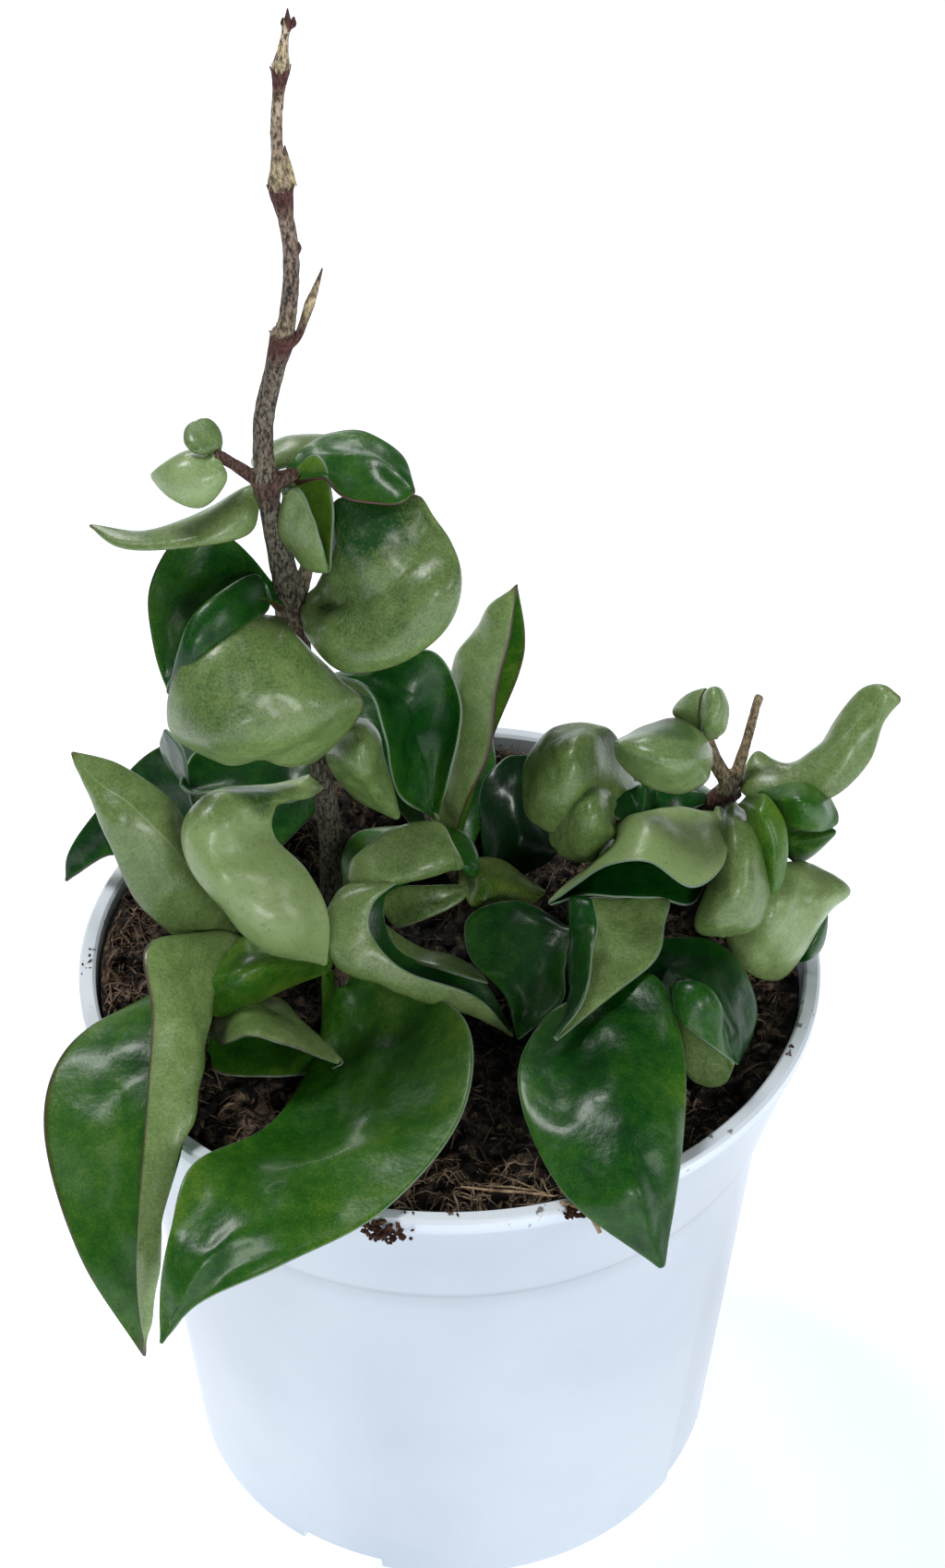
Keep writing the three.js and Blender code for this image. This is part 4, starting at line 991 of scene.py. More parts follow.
# ---- The leaves.
# Thick waxy blades on short stalks, folded and curled as they grew: glossy dark green above,
# dull sage below, with a thin rounded margin. Each grows out of its stem and is one piece.
BLADE = dict(
    root_half=1.1, tip_half=0.18, thickness=0.9, root_thickness=1.9, root_share=0.07,
    margin=0.62, tip=0.5)
LEAF_GRID = dict(across=2.4, along=0.95)
LEAF_FORMS = ((1.9, 0.22), (4.6, 0.48), (8.5, 1.5))  # blisters to swellings: how wide, how high
GROOVE = dict(depth=0.12, width=0.7)
EDGE_WAVE = dict(rise=0.25, across=2, along=9)
CALM = dict(full_width=16, small_width=15, young=0.45, swells_from=14, swells_over=12, stalk=0.1)
EDGE_PALER = 0.16
WAXY = dict(Roughness=0.35, Specular_IOR_Level=0.30, Coat_Weight=0.13, Coat_Roughness=0.15)
DULL = dict(Roughness=0.36, Specular_IOR_Level=0.45, Coat_Weight=0.25, Coat_Roughness=0.20)
GROWN_SKINS = {
    "leaf_upper_side": dict(
        side="Red", finish=WAXY, grain=0.6, specks=(0.60, 0.74, (0.002, 0.024, 0.003)),
        tones=[(0.1, (0.001, 0.018, 0.003)), (0.4, (0.003, 0.055, 0.004)),
               (0.7, (0.027, 0.115, 0.007)), (1.0, (0.105, 0.205, 0.022))],
        vein=(0.12, 0.22, 0.07), browned=0.024, relief=0.38, pores=0.12),
    "leaf_underside": dict(
        side="Green", finish=DULL, grain=0.95, specks=(0.58, 0.72, (0.055, 0.110, 0.036)),
        tones=[(0.0, (0.006, 0.055, 0.006)), (0.18, (0.060, 0.112, 0.027)),
               (0.5, (0.138, 0.218, 0.062)), (0.9, (0.245, 0.345, 0.130))],
        vein=(0.28, 0.37, 0.17), browned=0.024, relief=0.42, pores=0.25),
}
YOUNG_SKINS = {
    "young_upper_side": dict(
        side="Red", finish=WAXY, grain=0.7, specks=(0.62, 0.76, (0.05, 0.12, 0.025)),
        tones=[(0.1, (0.010, 0.060, 0.006)), (0.35, (0.045, 0.125, 0.013)),
               (0.6, (0.140, 0.215, 0.035)), (1.0, (0.370, 0.440, 0.100))],
        vein=(0.34, 0.42, 0.20), browned=0.06, relief=0.30, pores=0.12),
    "young_underside": dict(
        side="Green", finish=DULL, grain=0.9, specks=(0.60, 0.74, (0.09, 0.15, 0.05)),
        tones=[(0.1, (0.060, 0.120, 0.030)), (0.5, (0.165, 0.255, 0.088)),
               (0.9, (0.300, 0.410, 0.180))],
        vein=(0.34, 0.42, 0.22), browned=0.06, relief=0.36, pores=0.25),
}
BROWNED = (0.062, 0.030, 0.016)
LEAF_CLOUDS = {  # the forms in a leaf's skin, from its drifting tone to its pores
    "drift": dict(Scale=62, Detail=4, Roughness=0.55),
    "hammered": dict(Scale=165, Detail=3, Roughness=0.55),
    "mottle": dict(Scale=380, Detail=6, Roughness=0.62),
    "dots": dict(Scale=1300, Detail=3, Roughness=0.7),
    "pores": dict(Scale=2600, Detail=2, Roughness=0.6),
}
# What a leaf has where its own entry doesn't say otherwise.
PLAIN_LEAF = dict(
    bulge=(0, 0), crease=0.2, upper=0.45, under=0.5, vein=0.05, brown=0.45,
    young=False, pale=False, stains_and_painted_shade=())
# Each leaf, in mm: where its stalk and its tip are, and its left margin, midrib and right
# margin between them, as seen from above with the stalk towards you. Then how far each half
# bulges down, how sharply it is creased at the midrib, how pale each side is, how clear the
# vein and how brown the margin is, and its stains and patches of painted shade: a place, its
# reach and how much paler (darker below zero).
LEAVES = {
    "bud_leaf_round": dict(
        root=(-33.3, 0, 199.8), tip=(-36, 4.2, 201.6), bulge=(0.3, 0.3), upper=0.74, brown=1,
        young=True, pale=True,
        left=[(-32, 1, 200), (-32.5, 3.5, 200.5), (-34, 5, 201.3)],
        rib=[(-34.5, -1, 200.2), (-35, 0.7, 201), (-35.5, 3.5, 201.3)],
        right=[(-36, -1, 199.7), (-37.5, 0, 200.5), (-37.5, 2.7, 201.2)]),
    "bud_leaf_pointed": dict(
        root=(-33, -1, 198.5), tip=(-42.5, 0, 195), bulge=(0.5, 0.5), upper=0.92, under=0.8,
        brown=1, young=True, pale=True,
        left=[(-34.5, 2, 198), (-37.5, 2, 198), (-40.5, 1, 196.5)],
        rib=[(-33.5, -3, 198), (-36.5, -4, 197.5), (-39.5, -3, 197)],
        right=[(-31.5, -2, 195.5), (-35, -3, 191.5), (-39.5, -3, 193)]),
    "top_left": dict(
        root=(-27.5, 2, 191), tip=(-52.5, 3, 184.5), bulge=(0.3, 0.3), under=0.55, brown=0.9,
        left=[(-30, 4, 190), (-35.5, 3, 187), (-44, 2, 184)],
        rib=[(-30.5, -2, 190.5), (-37, -4, 187.5), (-46.5, -2, 185)],
        right=[(-28.5, -2.8, 186.8), (-36, -5.6, 186.6), (-46.5, -3, 184.4)]),
    "top_back": dict(
        root=(-25.5, 3, 192.5), tip=(-16, 16, 190.5), bulge=(0.3, 0.3),
        left=[(-25.5, 6, 191.5), (-23.5, 8, 191), (-18.5, 10, 191)],
        rib=[(-27, 9, 191.5), (-23, 12, 192), (-19, 14, 191)],
        right=[(-29, 13, 189), (-25, 18, 189.5), (-19.5, 20, 189)]),
    "top_right_cap": dict(
        root=(-23, 1, 193.5), tip=(-4.5, -5, 195.5), bulge=(0.6, 0.8), upper=0.6, brown=0.9,
        left=[(-21.5, 4, 196.5), (-18, 9, 196), (-12, 10, 196), (-6.5, 5, 195)],
        rib=[(-19.5, 1, 196.5), (-15.5, 2, 197), (-11, 2, 196.5), (-7, -2, 196.5)],
        right=[(-17.5, -4, 197), (-15, -7, 196), (-10, -7, 194.5), (-6.5, -6, 194)]),
    "top_right_flap": dict(
        root=(-23, -1, 194), tip=(-17, -7, 183.5), crease=0, upper=0.8, brown=0.1,
        left=[(-19.5, 0.8, 198), (-17.3, -1.4, 198), (-16.2, -4.8, 192.5)],
        rib=[(-24, -1.5, 190), (-23.5, -1.5, 185), (-20.5, -4, 182.5)],
        right=[(-21, -4, 195.5), (-19.2, -6.5, 193), (-18, -8.5, 189.5)]),
    "upper_right_shell": dict(
        root=(-20.5, 0, 172), tip=(-4.5, -3, 193), bulge=(3, 1.5), crease=0.5, under=0.44,
        brown=0.95,
        left=[(-20.5, -8, 172), (-15, -14, 170), (-6, -16, 173.5), (1, -12, 179), (0.5, -8, 188)],
        rib=[(-18.5, -3, 173.5), (-13.5, -10, 179.5), (-8, -12, 183.5), (-3.5, -10, 187.5),
             (-3, -6, 190.5)],
        right=[(-18.2, -2, 178), (-16.9, -2.6, 184), (-17, -2.8, 190), (-15.4, -3, 193.2),
               (-9, -3.4, 194)],
        # The first two stains are painted shade under the cap leaf above.
        stains_and_painted_shade=[((-16, -5, 191), 9, -0.5), ((-10, -6, 191.5), 7, -0.4),
                ((-13, -12, 178), 5, -0.12)]),
    "upper_left_dark": dict(
        root=(-24.5, -1, 173), tip=(-40.7, -14, 166.3), bulge=(-0.5, 0.8), crease=0.8, upper=0.48,
        brown=0.9,
        left=[(-27, -5, 176.5), (-29.5, -8.5, 177), (-34.5, -12.5, 174.5), (-39, -14, 169)],
        rib=[(-31, -3, 178), (-36, -4.5, 175.5), (-38.5, -8, 172), (-40, -12, 168)],
        right=[(-28.9, 1.5, 180), (-33.5, 3, 183.2), (-39.5, 2.5, 183), (-44, -2, 176.5),
               (-43, -9, 170)]),
    "upper_left_fold": dict(
        root=(-26.5, -3, 176.5), tip=(-40.6, -15, 167.1), crease=0.2, upper=0.36, under=0.3,
        brown=0.1,
        left=[(-26.6, -5, 174.2), (-29.2, -10.5, 176.2), (-33.4, -15, 175.6),
              (-36.8, -16.5, 172.8)],
        rib=[(-28, -4, 178.5), (-31.6, -10.6, 180), (-35.3, -14.6, 178.4), (-37.6, -16.4, 174.9)],
        right=[(-28.6, -3, 179.8), (-33.5, -9.5, 180.8), (-36.9, -13, 179.2), (-38.8, -15, 175)]),
    "front_shield": dict(
        root=(-24.5, -3, 171), tip=(-27, -13, 154), bulge=(0.5, 0.5), crease=0, under=0.46,
        brown=0.9,
        left=[(-30.5, -8, 176), (-38.5, -16, 173.5), (-41, -16, 161.5), (-34, -12, 152.5)],
        rib=[(-25, -13.5, 174.5), (-26.5, -19, 172), (-28, -23, 166.5), (-28.5, -20, 159)],
        right=[(-22.5, -8, 172.5), (-16, -12, 167.5), (-12.5, -12, 162), (-20, -10, 150.5)],
        stains_and_painted_shade=[((-41, -12, 160), 9, 0.1), ((-28, -20, 160), 7, 0.12)]),
    "mid_right_dark": dict(
        root=(-20, 4, 155), tip=(-2, 2, 129), crease=0, upper=0.4, brown=0.1,
        left=[(-11.5, 7, 155), (-2.5, 7, 158.5), (2, 3, 151.5), (0.5, 1, 140.5)],
        rib=[(-14, 5, 154), (-6.5, 3, 151), (-4, 4, 140), (-3.5, 3, 133)],
        right=[(-16, 0, 158.5), (-12, -4, 159), (-9.5, -6, 151.5), (-8, -3, 138.5)]),
    "mid_right_pale": dict(
        root=(-18, -1, 152), tip=(-8, -5, 135.5), crease=0, under=0.45,
        left=[(-17.5, -3, 150), (-18.5, -4, 145.5), (-14.5, -4, 138.5)],
        rib=[(-13.5, -8, 154), (-13.5, -11, 150.5), (-11, -8, 141.5)],
        right=[(-11.5, -2, 151), (-9.5, -4, 144.5), (-8, -5, 137.5)]),
    "tall_spear": dict(
        root=(0, 11, 112), tip=(10.5, 8, 170), crease=0, upper=0.66, under=0.6, brown=0.8,
        left=[(2.5, 1, 132), (6.5, 0, 144), (7.5, 2, 154), (9.5, 4, 163)],
        rib=[(-1.5, 8, 127.5), (-1, 10, 139), (0.5, 10, 153), (5.5, 9, 162.5)],
        right=[(3, 15, 119), (7, 16.5, 133.5), (11.3, 15, 148), (12, 12, 157.5)]),
    "left_spear": dict(
        root=(-30, 0, 104), tip=(-58, 0, 144.5), bulge=(0.8, 0.8), crease=0.4, under=0.55, vein=0.9,
        brown=0.8,
        left=[(-34, -2, 114), (-39.5, -2, 125), (-42.5, -1, 134.5), (-50, 0, 141.5)],
        rib=[(-36, -7, 118.5), (-42.5, -8, 131.5), (-49, -6, 138.5), (-54, -3, 141)],
        right=[(-40, -10, 112.5), (-48.5, -10, 122), (-52.5, -8, 133), (-55.5, -3, 139)]),
    "far_left_dark": dict(
        root=(-33, 12, 127), tip=(-64, 19, 102), bulge=(0.5, 0.5), crease=0.4, upper=0.35, brown=1,
        left=[(-37, 14, 116), (-48, 15, 110.5), (-56.5, 17, 109)],
        rib=[(-37, 16, 125.5), (-48, 20, 118.5), (-58, 20, 111.5)],
        right=[(-40.5, 20, 130.5), (-49.5, 24, 125), (-59.5, 22, 113), (-63.5, 20, 107)]),
    "under_shield_dark": dict(
        root=(-21, 6, 133), tip=(-42, 2, 136.5), bulge=(0.5, 0.5), crease=0.3, upper=0.35,
        brown=0.3,
        left=[(-25.5, 3, 131.5), (-34, 0, 136.5), (-39.5, 0, 136)],
        rib=[(-26, 9, 133), (-33.5, 7, 134.5), (-39.5, 4, 136)],
        right=[(-23, 14, 135), (-33, 12, 136.5), (-39.5, 8, 138.5)]),
    "side_fold_dark": dict(
        root=(-34, 11, 127), tip=(-44, 5, 145), bulge=(0.3, 0.3), crease=0.4, upper=0.25,
        under=0.25, brown=0.1,
        left=[(-40, 12, 128.5), (-44, 12, 131), (-45.5, 10, 137.5)],
        rib=[(-39.5, 6, 131), (-42.5, 6, 135), (-43.5, 6, 140)],
        right=[(-39.5, 2, 131), (-40.5, 2, 136.5), (-41, 2, 143)]),
    "centre_left_shell": dict(
        root=(-20.5, 2, 136.5), tip=(-19, -20, 118), bulge=(0.6, 0.3), crease=0.1, under=0.96,
        brown=0.1,
        left=[(-26.5, -2, 139.5), (-35.5, -6, 141.5), (-40, -9, 138.5), (-39, -12, 131.5),
              (-29, -16, 120)],
        rib=[(-23.5, -5, 140), (-32.5, -12, 143.5), (-36.5, -18, 141), (-32, -22, 133.5),
             (-25, -22, 123.5)],
        right=[(-24, -4, 138.5), (-26.5, -8, 140), (-26.5, -11, 136.5), (-21.5, -14, 132),
               (-18.5, -18, 127)],
        stains_and_painted_shade=[((-36, -12, 141), 5, -0.9), ((-30, -8, 143), 5, -1.2), ((-24, -5, 144), 5, -1.2)]),
    "front_curl_top": dict(
        root=(-15.5, -6, 118.5), tip=(4, -4.5, 122.5), bulge=(0, 0.3), crease=0.2, upper=0.55,
        under=0.5, brown=0.2,
        left=[(-17, 0, 122.5), (-14.5, 2, 126.5), (-7, 2, 128), (1, 0.5, 128.5), (4, -2.5, 126.5)],
        rib=[(-14, -9, 125), (-9.5, -11.5, 127), (-4.5, -11.5, 129), (-0.5, -9.5, 129),
             (3, -7.5, 126.5)],
        right=[(-15.5, -7, 127), (-13.5, -7.5, 131), (-8, -5, 133.5), (-1.5, -4, 133.5),
               (0.5, -6.5, 129.5)]),
    "front_curl_inner": dict(
        root=(-11, -6.5, 120), tip=(3, -7, 122), bulge=(0.3, 0.3), crease=0, upper=0.3, under=0.35,
        left=[(-8.5, -10, 117), (-4.5, -11.5, 119.5), (0.5, -10.5, 121.5)],
        rib=[(-7, -8.5, 120.5), (-2.5, -9.5, 122), (1.5, -8.5, 122.5)],
        right=[(-8, -7, 123), (-3.5, -8, 124), (1, -7, 123)]),
    "front_s_blade": dict(
        root=(-13.5, -8, 123), tip=(10, -20, 103), bulge=(0, 0.8), crease=0.2, upper=0.25,
        under=0.56, brown=0.2,
        left=[(-5.5, -6, 123.5), (-9.5, -7, 121.5), (-10, -10, 117.5), (-6.5, -12, 112.5),
              (4.5, -14, 110)],
        rib=[(-16.5, -11, 125.5), (-19.5, -15, 123), (-17, -19, 117.5), (-7, -20, 112.5),
             (4, -19, 107)],
        right=[(-8, -12, 128), (-11.5, -15, 126.5), (-12, -18, 123), (-7, -21, 118),
               (4, -20, 111.5)]),
    "front_s_inner": dict(
        root=(-13, -8, 117), tip=(6, -15, 109.5), crease=0, upper=0.3, under=0.42,
        left=[(-7, -12, 112.5), (-1.5, -15, 112.5), (3, -16, 111.5)],
        rib=[(-5.5, -10, 111.5), (-1, -12, 111.5), (3, -13, 110)],
        right=[(-5, -8, 111), (0.5, -9, 110), (4.5, -11, 108.5)]),
    "hang_left": dict(
        root=(-29, -1, 104.5), tip=(-47, -61, 75), bulge=(1, 1), crease=0.7, upper=0.64, under=0.56,
        brown=0.8,
        left=[(-46, -18, 121.5), (-45.5, -30, 115.5), (-46.5, -46, 104), (-47.5, -57, 89.5)],
        rib=[(-35, -12, 114.5), (-37.5, -26, 111.5), (-39, -42, 106.5), (-44, -55, 94.5)],
        right=[(-49.5, -14, 105), (-60, -26, 106), (-62.5, -38, 100), (-56.5, -53, 88.5)],
        stains_and_painted_shade=[((-45, -30, 108), 7, -0.15), ((-52, -46, 98), 8, 0.12)]),
    "hang_front": dict(
        root=(-18, -9, 107), tip=(-42.5, -73, 92), bulge=(0.8, 0.8), crease=0.4, upper=0.64,
        brown=0.2,
        left=[(-8.5, -15, 109.5), (2.5, -27, 113), (2, -43, 109), (-9.5, -59, 105),
              (-24.5, -68, 103), (-36.5, -72, 99.5)],
        rib=[(-17, -13, 105), (-13, -27, 104.5), (-16.5, -45, 104.5), (-26, -60, 107),
             (-34.5, -68, 106), (-39.5, -72, 99.5)],
        right=[(-20.5, -9, 105.5), (-21, -20, 101), (-27.5, -38, 102), (-38, -54, 110),
               (-41, -64, 106), (-42.5, -70, 99)],
        stains_and_painted_shade=[((-24, -38, 106), 9, -0.18), ((-40, -58, 104), 8, 0.12),
                ((-2, -36, 106), 7, 0.08)]),
    "small_curl_top": dict(
        root=(-19, -9, 108), tip=(-38, -18, 111), bulge=(0.4, 0.6), crease=0, upper=0.8, under=0.45,
        brown=0.1, young=True,
        left=[(-27.5, -16, 108.5), (-32.5, -20, 108.5), (-37, -20, 107.5)],
        rib=[(-24.5, -14, 113), (-31, -20, 117.5), (-37, -20, 114.5)],
        right=[(-24, -8, 110.5), (-32, -8, 113.5), (-38, -12, 112.5)]),
    "small_curl_low": dict(
        root=(-38, -18, 101), tip=(-17.5, -27, 103.5), bulge=(0.5, 0.5), crease=0, upper=0.6,
        under=0.6,
        left=[(-35.5, -25, 106), (-31, -30, 112.5), (-26, -31, 112), (-21, -30, 108.5)],
        rib=[(-37.5, -14, 102), (-33.5, -12, 104), (-28, -12, 103.5), (-24, -17, 103)],
        right=[(-37, -24, 99.5), (-32, -25, 99), (-25.5, -25, 99), (-20, -26, 100.5)]),
    "right_twig_leaf_left": dict(
        root=(40.5, 8, 142), tip=(40, 8, 150), crease=0, upper=0.5, brown=0.9, young=True,
        pale=True,
        left=[(39.5, 6, 145), (39, 6, 148), (39.5, 7, 149.5)],
        rib=[(38.5, 7, 144), (37, 7, 146.5), (38, 8, 148.5)],
        right=[(37, 9, 142.5), (35, 10, 144), (37, 10, 147)]),
    "right_twig_leaf_round": dict(
        root=(41, 7, 141.5), tip=(41, 7, 151), crease=0, upper=0.44, brown=0.9, young=True,
        pale=True,
        left=[(43, 5, 144), (43.5, 6, 147.5), (42.5, 7, 150)],
        rib=[(40.5, 2, 147.5), (41, 3, 150), (41, 5, 151.5)],
        right=[(39.5, 5, 144), (39, 6, 147), (39.5, 7, 149.5)]),
    "right_pillow": dict(
        root=(40.5, 5, 139), tip=(25.5, 0, 145.5), bulge=(-0.5, -0.5), crease=0, upper=0.45,
        under=0.48, brown=0.9, young=True, pale=True,
        left=[(39.5, 4, 144), (35.5, 5, 146.5), (31, 3, 147), (27.5, 2, 145.5)],
        rib=[(38.5, -5, 146.5), (33.5, -9, 149.5), (29.5, -8, 150), (26.5, -4, 148.5)],
        right=[(40, 0, 138), (36, -3, 138), (30.5, -3, 139.5), (26.5, -1, 142.5)],
        stains_and_painted_shade=[((34, 1, 150), 6, -0.9), ((28, 1, 149), 4, -0.6)]),
    "right_round_far": dict(
        root=(32, 12, 115), tip=(11.5, 2, 133.5), bulge=(0.3, 0.3), crease=0, under=0.44,
        brown=0.85,
        left=[(27, 8, 139), (22.5, 9, 142.5), (16, 8, 142), (12, 6, 137)],
        rib=[(22.5, 0, 139), (19, -3, 144), (15.5, -2, 141.5), (13, 0, 137)],
        right=[(22, -2, 133.5), (18, -3, 130), (15, -2, 130), (12.5, 0, 131)]),
    "right_round_low": dict(
        root=(31, 13, 112), tip=(16, -1, 127), bulge=(0.2, 0.2), crease=0, under=0.48, brown=0.8,
        left=[(26, 3, 132.5), (22, 2, 136.5), (17.5, 1, 133)],
        rib=[(24, -5, 135), (20.5, -8, 137), (17.5, -4, 131.5)],
        right=[(26, -4, 130), (22, -5, 126), (18, -3, 125.5)]),
    "right_dark_front": dict(
        root=(36, 10, 121), tip=(25, 3, 132), crease=0.5, upper=0.3,
        left=[(31.5, 2, 127.5), (28.5, 0, 129.5), (26, -1, 131.5)],
        rib=[(31.5, 4, 130), (29, 3, 130.5), (26.5, 2, 131)],
        right=[(31.5, 6, 132.5), (28.5, 6, 131.5), (26, 4, 132)]),
    "right_dark_rear": dict(
        root=(41, 9, 127), tip=(32, 6, 130), crease=0.3, upper=0.3,
        left=[(37.5, 4, 128.5), (35, 3, 127.5), (33, 3, 127.5)],
        rib=[(38, 6, 129), (35.5, 6, 129), (33, 6, 129)],
        right=[(38, 9, 129), (35.5, 9, 130.5), (33, 8, 131)]),
    "right_arm": dict(
        root=(47, 8, 130.5), tip=(70.5, 10, 146), bulge=(0.4, 0.4), crease=0.4, under=0.52,
        vein=0.35, brown=0.6,
        left=[(48, 4, 131), (54.5, 2, 132), (60.5, 2, 133), (66, 5, 137.5), (68, 8, 143)],
        rib=[(48.5, 8, 133), (54.5, 6, 135), (60.5, 6, 140), (65.5, 9, 144.5), (68, 10, 148)],
        right=[(49, 12, 134.5), (53.5, 11, 132), (58.5, 11, 135), (61, 12, 140.5),
               (65.5, 13, 146)]),
    "right_small_cap": dict(
        root=(49, 5, 131), tip=(61, 0, 129.5), bulge=(0.6, 0.6), crease=0, upper=0.66, brown=0.9,
        young=True,
        left=[(51, 7, 131.5), (55, 7, 133), (58.5, 5, 133), (61, 2, 130.5)],
        rib=[(51.5, -1, 135), (54.5, -4, 137), (57.5, -3, 135), (59.5, -1, 131)],
        right=[(52.5, 0, 130), (54.5, -1, 129), (57.5, -1, 128.5), (59.5, 0, 128)]),
    "right_small_inner": dict(
        root=(47, 6, 127), tip=(61, 0, 127.5), bulge=(0.3, 0.3), crease=0, upper=0.25, under=0.3,
        young=True, pale=True,
        left=[(54.5, 6, 125), (57.5, 4, 126), (60, 2, 127)],
        rib=[(53, 2, 125), (55.5, 1, 125), (58.5, 0, 126.5)],
        right=[(54, 3, 120), (56, 3, 118.5), (58.5, 2, 121.5)]),
    "right_lens": dict(
        root=(46.5, 2, 132), tip=(50.5, -8, 119.5), bulge=(0.3, 0.3), crease=0.4, upper=0.84,
        young=True,
        left=[(49.5, -1, 136), (52.5, -4, 132), (52.5, -7, 125)],
        rib=[(48, -4, 135), (50, -7, 131.5), (50.5, -9, 126.5)],
        right=[(46.5, -1, 132), (47, -4, 127.5), (49, -7, 123)]),
    "right_front_shell": dict(
        root=(43, 5, 128), tip=(15.5, -11, 122.5), bulge=(0.3, 1.2), crease=0.1, upper=0.3,
        under=0.96, brown=0.2,
        left=[(39, -8, 120.5), (32.5, -10, 122.5), (26.5, -12, 124.5), (21, -12, 125)],
        rib=[(41, 5, 127.5), (36.5, 4, 129), (31, 3, 128), (26, 1, 125.5), (21, -5, 123.5)],
        right=[(42.5, -12, 132), (37, -18, 131.5), (30.5, -16, 135), (24.5, -14, 133),
               (20, -12, 127.5)]),
    "right_front_back": dict(
        root=(45.5, 5, 128.5), tip=(43, -14, 118), bulge=(0.3, 0.3), crease=0, under=0.5,
        left=[(42.5, -2, 131.5), (40.5, -9, 126), (38, -14, 120)],
        rib=[(45.5, -6, 132.5), (45.5, -13, 128.5), (43.5, -15, 122.5)],
        right=[(48.5, -1, 127.5), (50.5, -6, 121.5), (49.5, -10, 117.5)]),
    "right_low_tip": dict(
        root=(40, 7, 120), tip=(63.5, -1, 116), bulge=(0.3, 0.3), crease=0.3, under=0.72,
        left=[(45, -9, 110), (51.5, -9, 104), (56, -7, 107), (60, -3, 112.5)],
        rib=[(47.5, -9, 119), (52, -10, 119), (56.5, -7, 118), (60.5, -4, 118)],
        right=[(47.5, -2, 122.5), (54, 0, 121.5), (57, 1, 120.5), (60.5, 1, 118)]),
    "right_low_fold": dict(
        root=(55, -2, 104.5), tip=(60.5, -1, 112), crease=0.5, under=0.35, brown=0.2,
        left=[(55.5, -4, 104.5), (57, -4, 108.5)],
        rib=[(57, -5, 105), (58.5, -5, 108.5)],
        right=[(59, -3, 104.5), (60.5, -2, 107)]),
    "centre_back_pale": dict(
        root=(2, 9, 111), tip=(15.5, 2, 113.5), bulge=(0.3, 0.3), crease=0, upper=0.55, under=0.45,
        brown=0.3, pale=True,
        left=[(3.5, 6, 117.5), (8.5, 8, 115.5), (13, 6, 112.5)],
        rib=[(5, 1, 117), (9, 2, 116), (13.5, 2, 114)],
        right=[(3.5, -2, 114), (8.5, -1, 113.5), (13, 0, 113)]),
    "centre_dark": dict(
        root=(21, -8, 112.5), tip=(10.5, -22, 104), bulge=(0.5, 0.5), crease=0.2, upper=0.42,
        brown=0.1,
        left=[(20.5, -10, 116.5), (18, -16, 114), (17.5, -20, 110)],
        rib=[(14.5, -8, 116), (11.5, -13, 112.5), (12, -18, 109)],
        right=[(11.5, -4, 117), (3, -6, 116), (3, -11, 111.5), (8.5, -16, 108)]),
    "centre_fold": dict(
        root=(22, -10, 116), tip=(16.1, -36, 117.3), bulge=(0, 0.6), crease=0.5, upper=0.25,
        under=0.55, brown=0.1,
        left=[(21.9, -14, 125.9), (22.8, -18, 124.1), (22, -22.3, 123), (20.4, -29.8, 119.6)],
        rib=[(19.5, -12, 124.2), (19.2, -16, 121.6), (18.4, -20, 118.7), (18.2, -28.5, 117.8)],
        right=[(33.8, -9, 121.5), (33.5, -14, 120.5), (31.8, -20, 118.6), (24, -27.6, 117.4)]),
    "hang_right": dict(
        root=(24, -22, 115), tip=(31, -64, 97.5), bulge=(0.6, 0.6), crease=0.3, upper=0.46,
        brown=0.3,
        left=[(32, -22, 117), (35.5, -37, 113.5), (34, -52, 106.5)],
        rib=[(23.5, -33, 115.5), (25, -48, 114.5), (27.5, -60, 108.5)],
        right=[(14.5, -28, 114.5), (10, -42, 113.5), (16.5, -58, 107)],
        stains_and_painted_shade=[((33, -45, 112), 7, 0.12), ((17, -36, 113), 8, -0.14)]),
    "right_under_dark": dict(
        root=(23.5, -16, 116), tip=(44.5, -29, 105), bulge=(0.6, 0.6), crease=0.2, upper=0.3,
        brown=0.1,
        left=[(37, -12, 116.5), (45, -13, 113), (48, -20, 108)],
        rib=[(32.5, -19, 116), (39, -24, 116.5), (44, -27, 111)],
        right=[(31, -23, 113.5), (37, -27, 111.5), (42, -29, 109)]),
    "right_under_pale": dict(
        root=(34.5, -22.5, 114), tip=(43.8, -30.5, 106.7), bulge=(0.4, 0), crease=0.1, upper=0.45,
        under=0.42, brown=0.1,
        left=[(36.2, -29.5, 104.5), (39.4, -30.8, 101.8), (42.6, -30.6, 102.5)],
        rib=[(35.6, -26.5, 119), (38.8, -28, 119), (42, -29, 114.5)],
        right=[(34.6, -30.6, 116.6), (37, -32.8, 115.2), (40.8, -33.4, 112)]),
    # Both sides nearly black: painted shade for a leaf deep in the shadow of the others.
    "back_dark": dict(
        root=(5, 14, 104), tip=(13, 28, 121), bulge=(0.5, 0.5), crease=0.3, upper=0.05, under=0.05,
        brown=0.1,
        left=[(5.5, 16, 109), (5, 22, 118), (9, 26, 122)],
        rib=[(11, 12, 114.5), (11, 18, 119), (12, 24, 120)],
        right=[(17, 14, 110.5), (18, 20, 113.5), (15, 26, 118.5)]),
    "rear_left": dict(
        root=(-30, 9, 115), tip=(-40, 45, 111), bulge=(0.6, 0.6),
        left=[(-39, 20, 114), (-48, 30, 117), (-47, 39, 114)],
        rib=[(-31, 22, 119), (-34, 33, 122), (-37, 41, 119)],
        right=[(-20, 22, 118), (-20, 35, 120), (-28, 43, 115)]),
    "rear_middle": dict(
        root=(-6, 20, 119), tip=(-17, 53, 116), bulge=(0.6, 0.6),
        left=[(-23, 27, 124), (-27, 38, 126), (-24, 47, 121)],
        rib=[(-13, 30, 127), (-15, 40, 128), (-16, 48, 123)],
        right=[(-3, 27, 123), (-4, 38, 124), (-9, 47, 119)]),
    "rear_right": dict(
